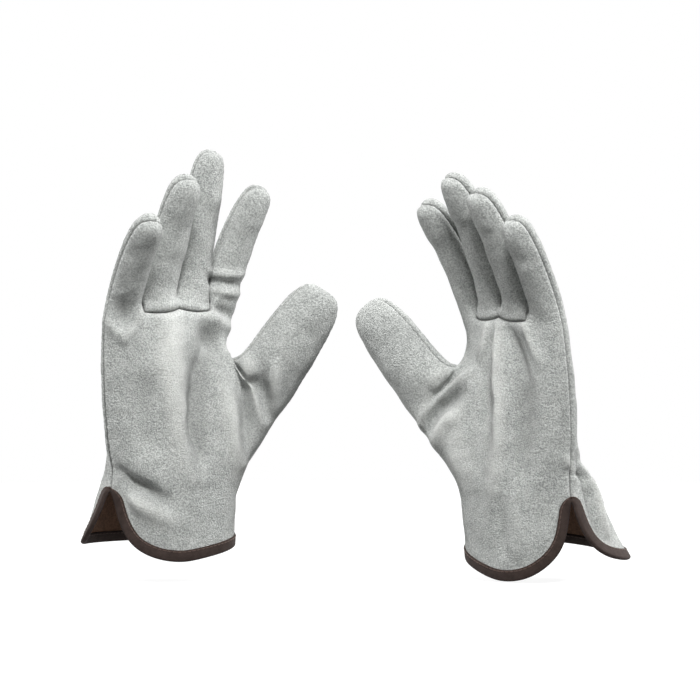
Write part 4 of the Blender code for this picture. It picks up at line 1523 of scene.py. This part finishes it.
class GLOVES_OT_stage(bpy.types.Operator):
    """Set the paper, the lights and the camera"""

    bl_idname = "gloves.stage"
    bl_label = "Stage"

    paper_reach = 1.2
    paper_gap = 0.002  # how far below the lowest hem the paper lies
    paper_colour = (0.2, 0.2, 0.2, 1.0)
    glow_start = 0.3  # how far from the right glove's cuff the paper starts to be whiter
    glow_end = 0.8  # the share of its reach from which it is fully white
    light_distance = 1.1

    # Each light's turn round the gloves from the camera's side, its climb and its size
    lights = {
        "front": (4.0, 46.0, 0.3),
        "left": (-108.0, 20.0, 0.4),
        "right": (108.0, 25.0, 0.4),
    }

    def execute(self, context):
        look = context.scene.glove_stage
        self.paper(look)
        self.world(look)
        middle = Vector((CAMERA_PLACE.x, 0.0, CAMERA_PLACE.z))
        for label, (turn, climb, size) in self.lights.items():
            power = getattr(look, f"{label}_power")
            self.softbox(f"{label}_light", middle, turn, climb, power, size)
        camera = bpy.data.objects.new("camera", bpy.data.cameras.new("camera"))
        camera.data.sensor_width = SENSOR_WIDTH
        camera.data.lens = SENSOR_WIDTH * -CAMERA_PLACE.y / VIEW_WIDTH
        camera.data.clip_end = 20.0
        camera.location = CAMERA_PLACE
        camera.rotation_euler = (math.radians(90.0), 0.0, 0.0)
        context.scene.collection.objects.link(camera)
        context.scene.camera = camera
        context.scene.view_settings.view_transform = "Standard"
        return {"FINISHED"}

    def paper(self, look):
        """A round sheet of white paper just under the lowest hem."""
        lowest = min(vert.co.z for side in SIDES for vert in glove_surface(side).shell.verts)
        middle = Matrix.Translation((CAMERA_PLACE.x, 0.0, lowest - self.paper_gap))
        bm = bmesh.new()
        bmesh.ops.create_circle(bm, cap_ends=True, segments=128, radius=self.paper_reach, matrix=middle)
        mesh = bpy.data.meshes.new("paper")
        bm.to_mesh(mesh)
        bm.free()
        paper = bpy.data.objects.new("paper", mesh)
        bpy.context.scene.collection.objects.link(paper)
        mesh.materials.append(self.paper_material(look))

    def paper_material(self, look):
        """White paper that the camera sees as white, with the gloves' shadow left faintly on it."""
        made = bpy.data.materials.new("white_paper")
        made.use_nodes = True
        tree = made.node_tree
        tree.nodes.clear()
        plain = tree.nodes.new("ShaderNodeBsdfDiffuse")
        plain.inputs["Color"].default_value = self.paper_colour
        reach = tree.nodes.new("ShaderNodeVectorMath")
        reach.operation = "LENGTH"
        tree.links.new(tree.nodes.new("ShaderNodeTexCoord").outputs["Object"], reach.inputs[0])
        rim = self.glow_end * self.paper_reach
        white = add_range(tree, reach.outputs["Value"], self.glow_start, rim, look.paper_glow, 1.0)
        glow = tree.nodes.new("ShaderNodeEmission")
        tree.links.new(white, glow.inputs["Strength"])
        seen = tree.nodes.new("ShaderNodeAddShader")
        tree.links.new(plain.outputs[0], seen.inputs[0])
        tree.links.new(glow.outputs[0], seen.inputs[1])
        mix = tree.nodes.new("ShaderNodeMixShader")
        tree.links.new(seen_directly(tree), mix.inputs[0])
        tree.links.new(plain.outputs[0], mix.inputs[1])
        tree.links.new(seen.outputs[0], mix.inputs[2])
        output = tree.nodes.new("ShaderNodeOutputMaterial")
        tree.links.new(mix.outputs[0], output.inputs["Surface"])
        return made

    def world(self, look):
        """An even white fill, which the camera itself sees as plain white."""
        world = bpy.data.worlds.new("studio")
        world.use_nodes = True
        tree = world.node_tree
        tree.nodes.clear()
        fill = tree.nodes.new("ShaderNodeBackground")
        fill.inputs["Strength"].default_value = look.fill
        white = tree.nodes.new("ShaderNodeBackground")
        for shade in (fill, white):
            shade.inputs["Color"].default_value = (1.0, 1.0, 1.0, 1.0)
        mix = tree.nodes.new("ShaderNodeMixShader")
        tree.links.new(seen_directly(tree), mix.inputs[0])
        tree.links.new(fill.outputs[0], mix.inputs[1])
        tree.links.new(white.outputs[0], mix.inputs[2])
        output = tree.nodes.new("ShaderNodeOutputWorld")
        tree.links.new(mix.outputs[0], output.inputs["Surface"])
        bpy.context.scene.world = world

    def softbox(self, name, aim, turn, climb, power, size):
        """A soft light that looks at a point, turned round it from the camera's side and raised."""
        light = bpy.data.lights.new(name, "AREA")
        light.energy = power
        light.size = size
        away = Vector((0.0, -1.0, 0.0))
        away.rotate(Euler((math.radians(-climb), 0.0, math.radians(turn)), "XYZ"))
        box = bpy.data.objects.new(name, light)
        box.location = aim + away * self.light_distance
        box.rotation_euler = (-away).to_track_quat("-Z", "Y").to_euler()
        bpy.context.scene.collection.objects.link(box)


class GLOVES_PT_panel(bpy.types.Panel):
    """Shows the buttons that make the gloves' pieces, and the sizes and colours, in the sidebar"""

    bl_label = "Welding gloves"
    bl_idname = "GLOVES_PT_panel"
    bl_space_type = "VIEW_3D"
    bl_region_type = "UI"
    bl_category = "Gloves"

    def draw(self, context):
        for operator in OPERATORS:
            self.layout.operator(operator.bl_idname)
        for label, look in LOOKS.items():
            for name in look.__annotations__:
                self.layout.prop(getattr(context.scene, label), name)


OPERATORS = (
    GLOVES_OT_stage,
    GLOVES_OT_leather,
    GLOVES_OT_tape,
    GLOVES_OT_seam_threads,
    GLOVES_OT_elastic,
)
LOOKS = {"glove_leather": LeatherLook, "glove_trim": TrimLook, "glove_stage": StageLook}
CLASSES = (*LOOKS.values(), *OPERATORS, GLOVES_PT_panel)


def register():
    for item in CLASSES:
        bpy.utils.register_class(item)
    for label, group in LOOKS.items():
        setattr(bpy.types.Scene, label, PointerProperty(type=group))


def unregister():
    for label in LOOKS:
        delattr(bpy.types.Scene, label)
    for item in reversed(CLASSES):
        bpy.utils.unregister_class(item)


def main():
    """Makes the stage and both gloves."""
    register()
    bpy.ops.gloves.stage()
    bpy.ops.gloves.leather()
    bpy.ops.gloves.tape()
    bpy.ops.gloves.seam_threads()
    bpy.ops.gloves.elastic()


if __name__ == "__main__":
    main()
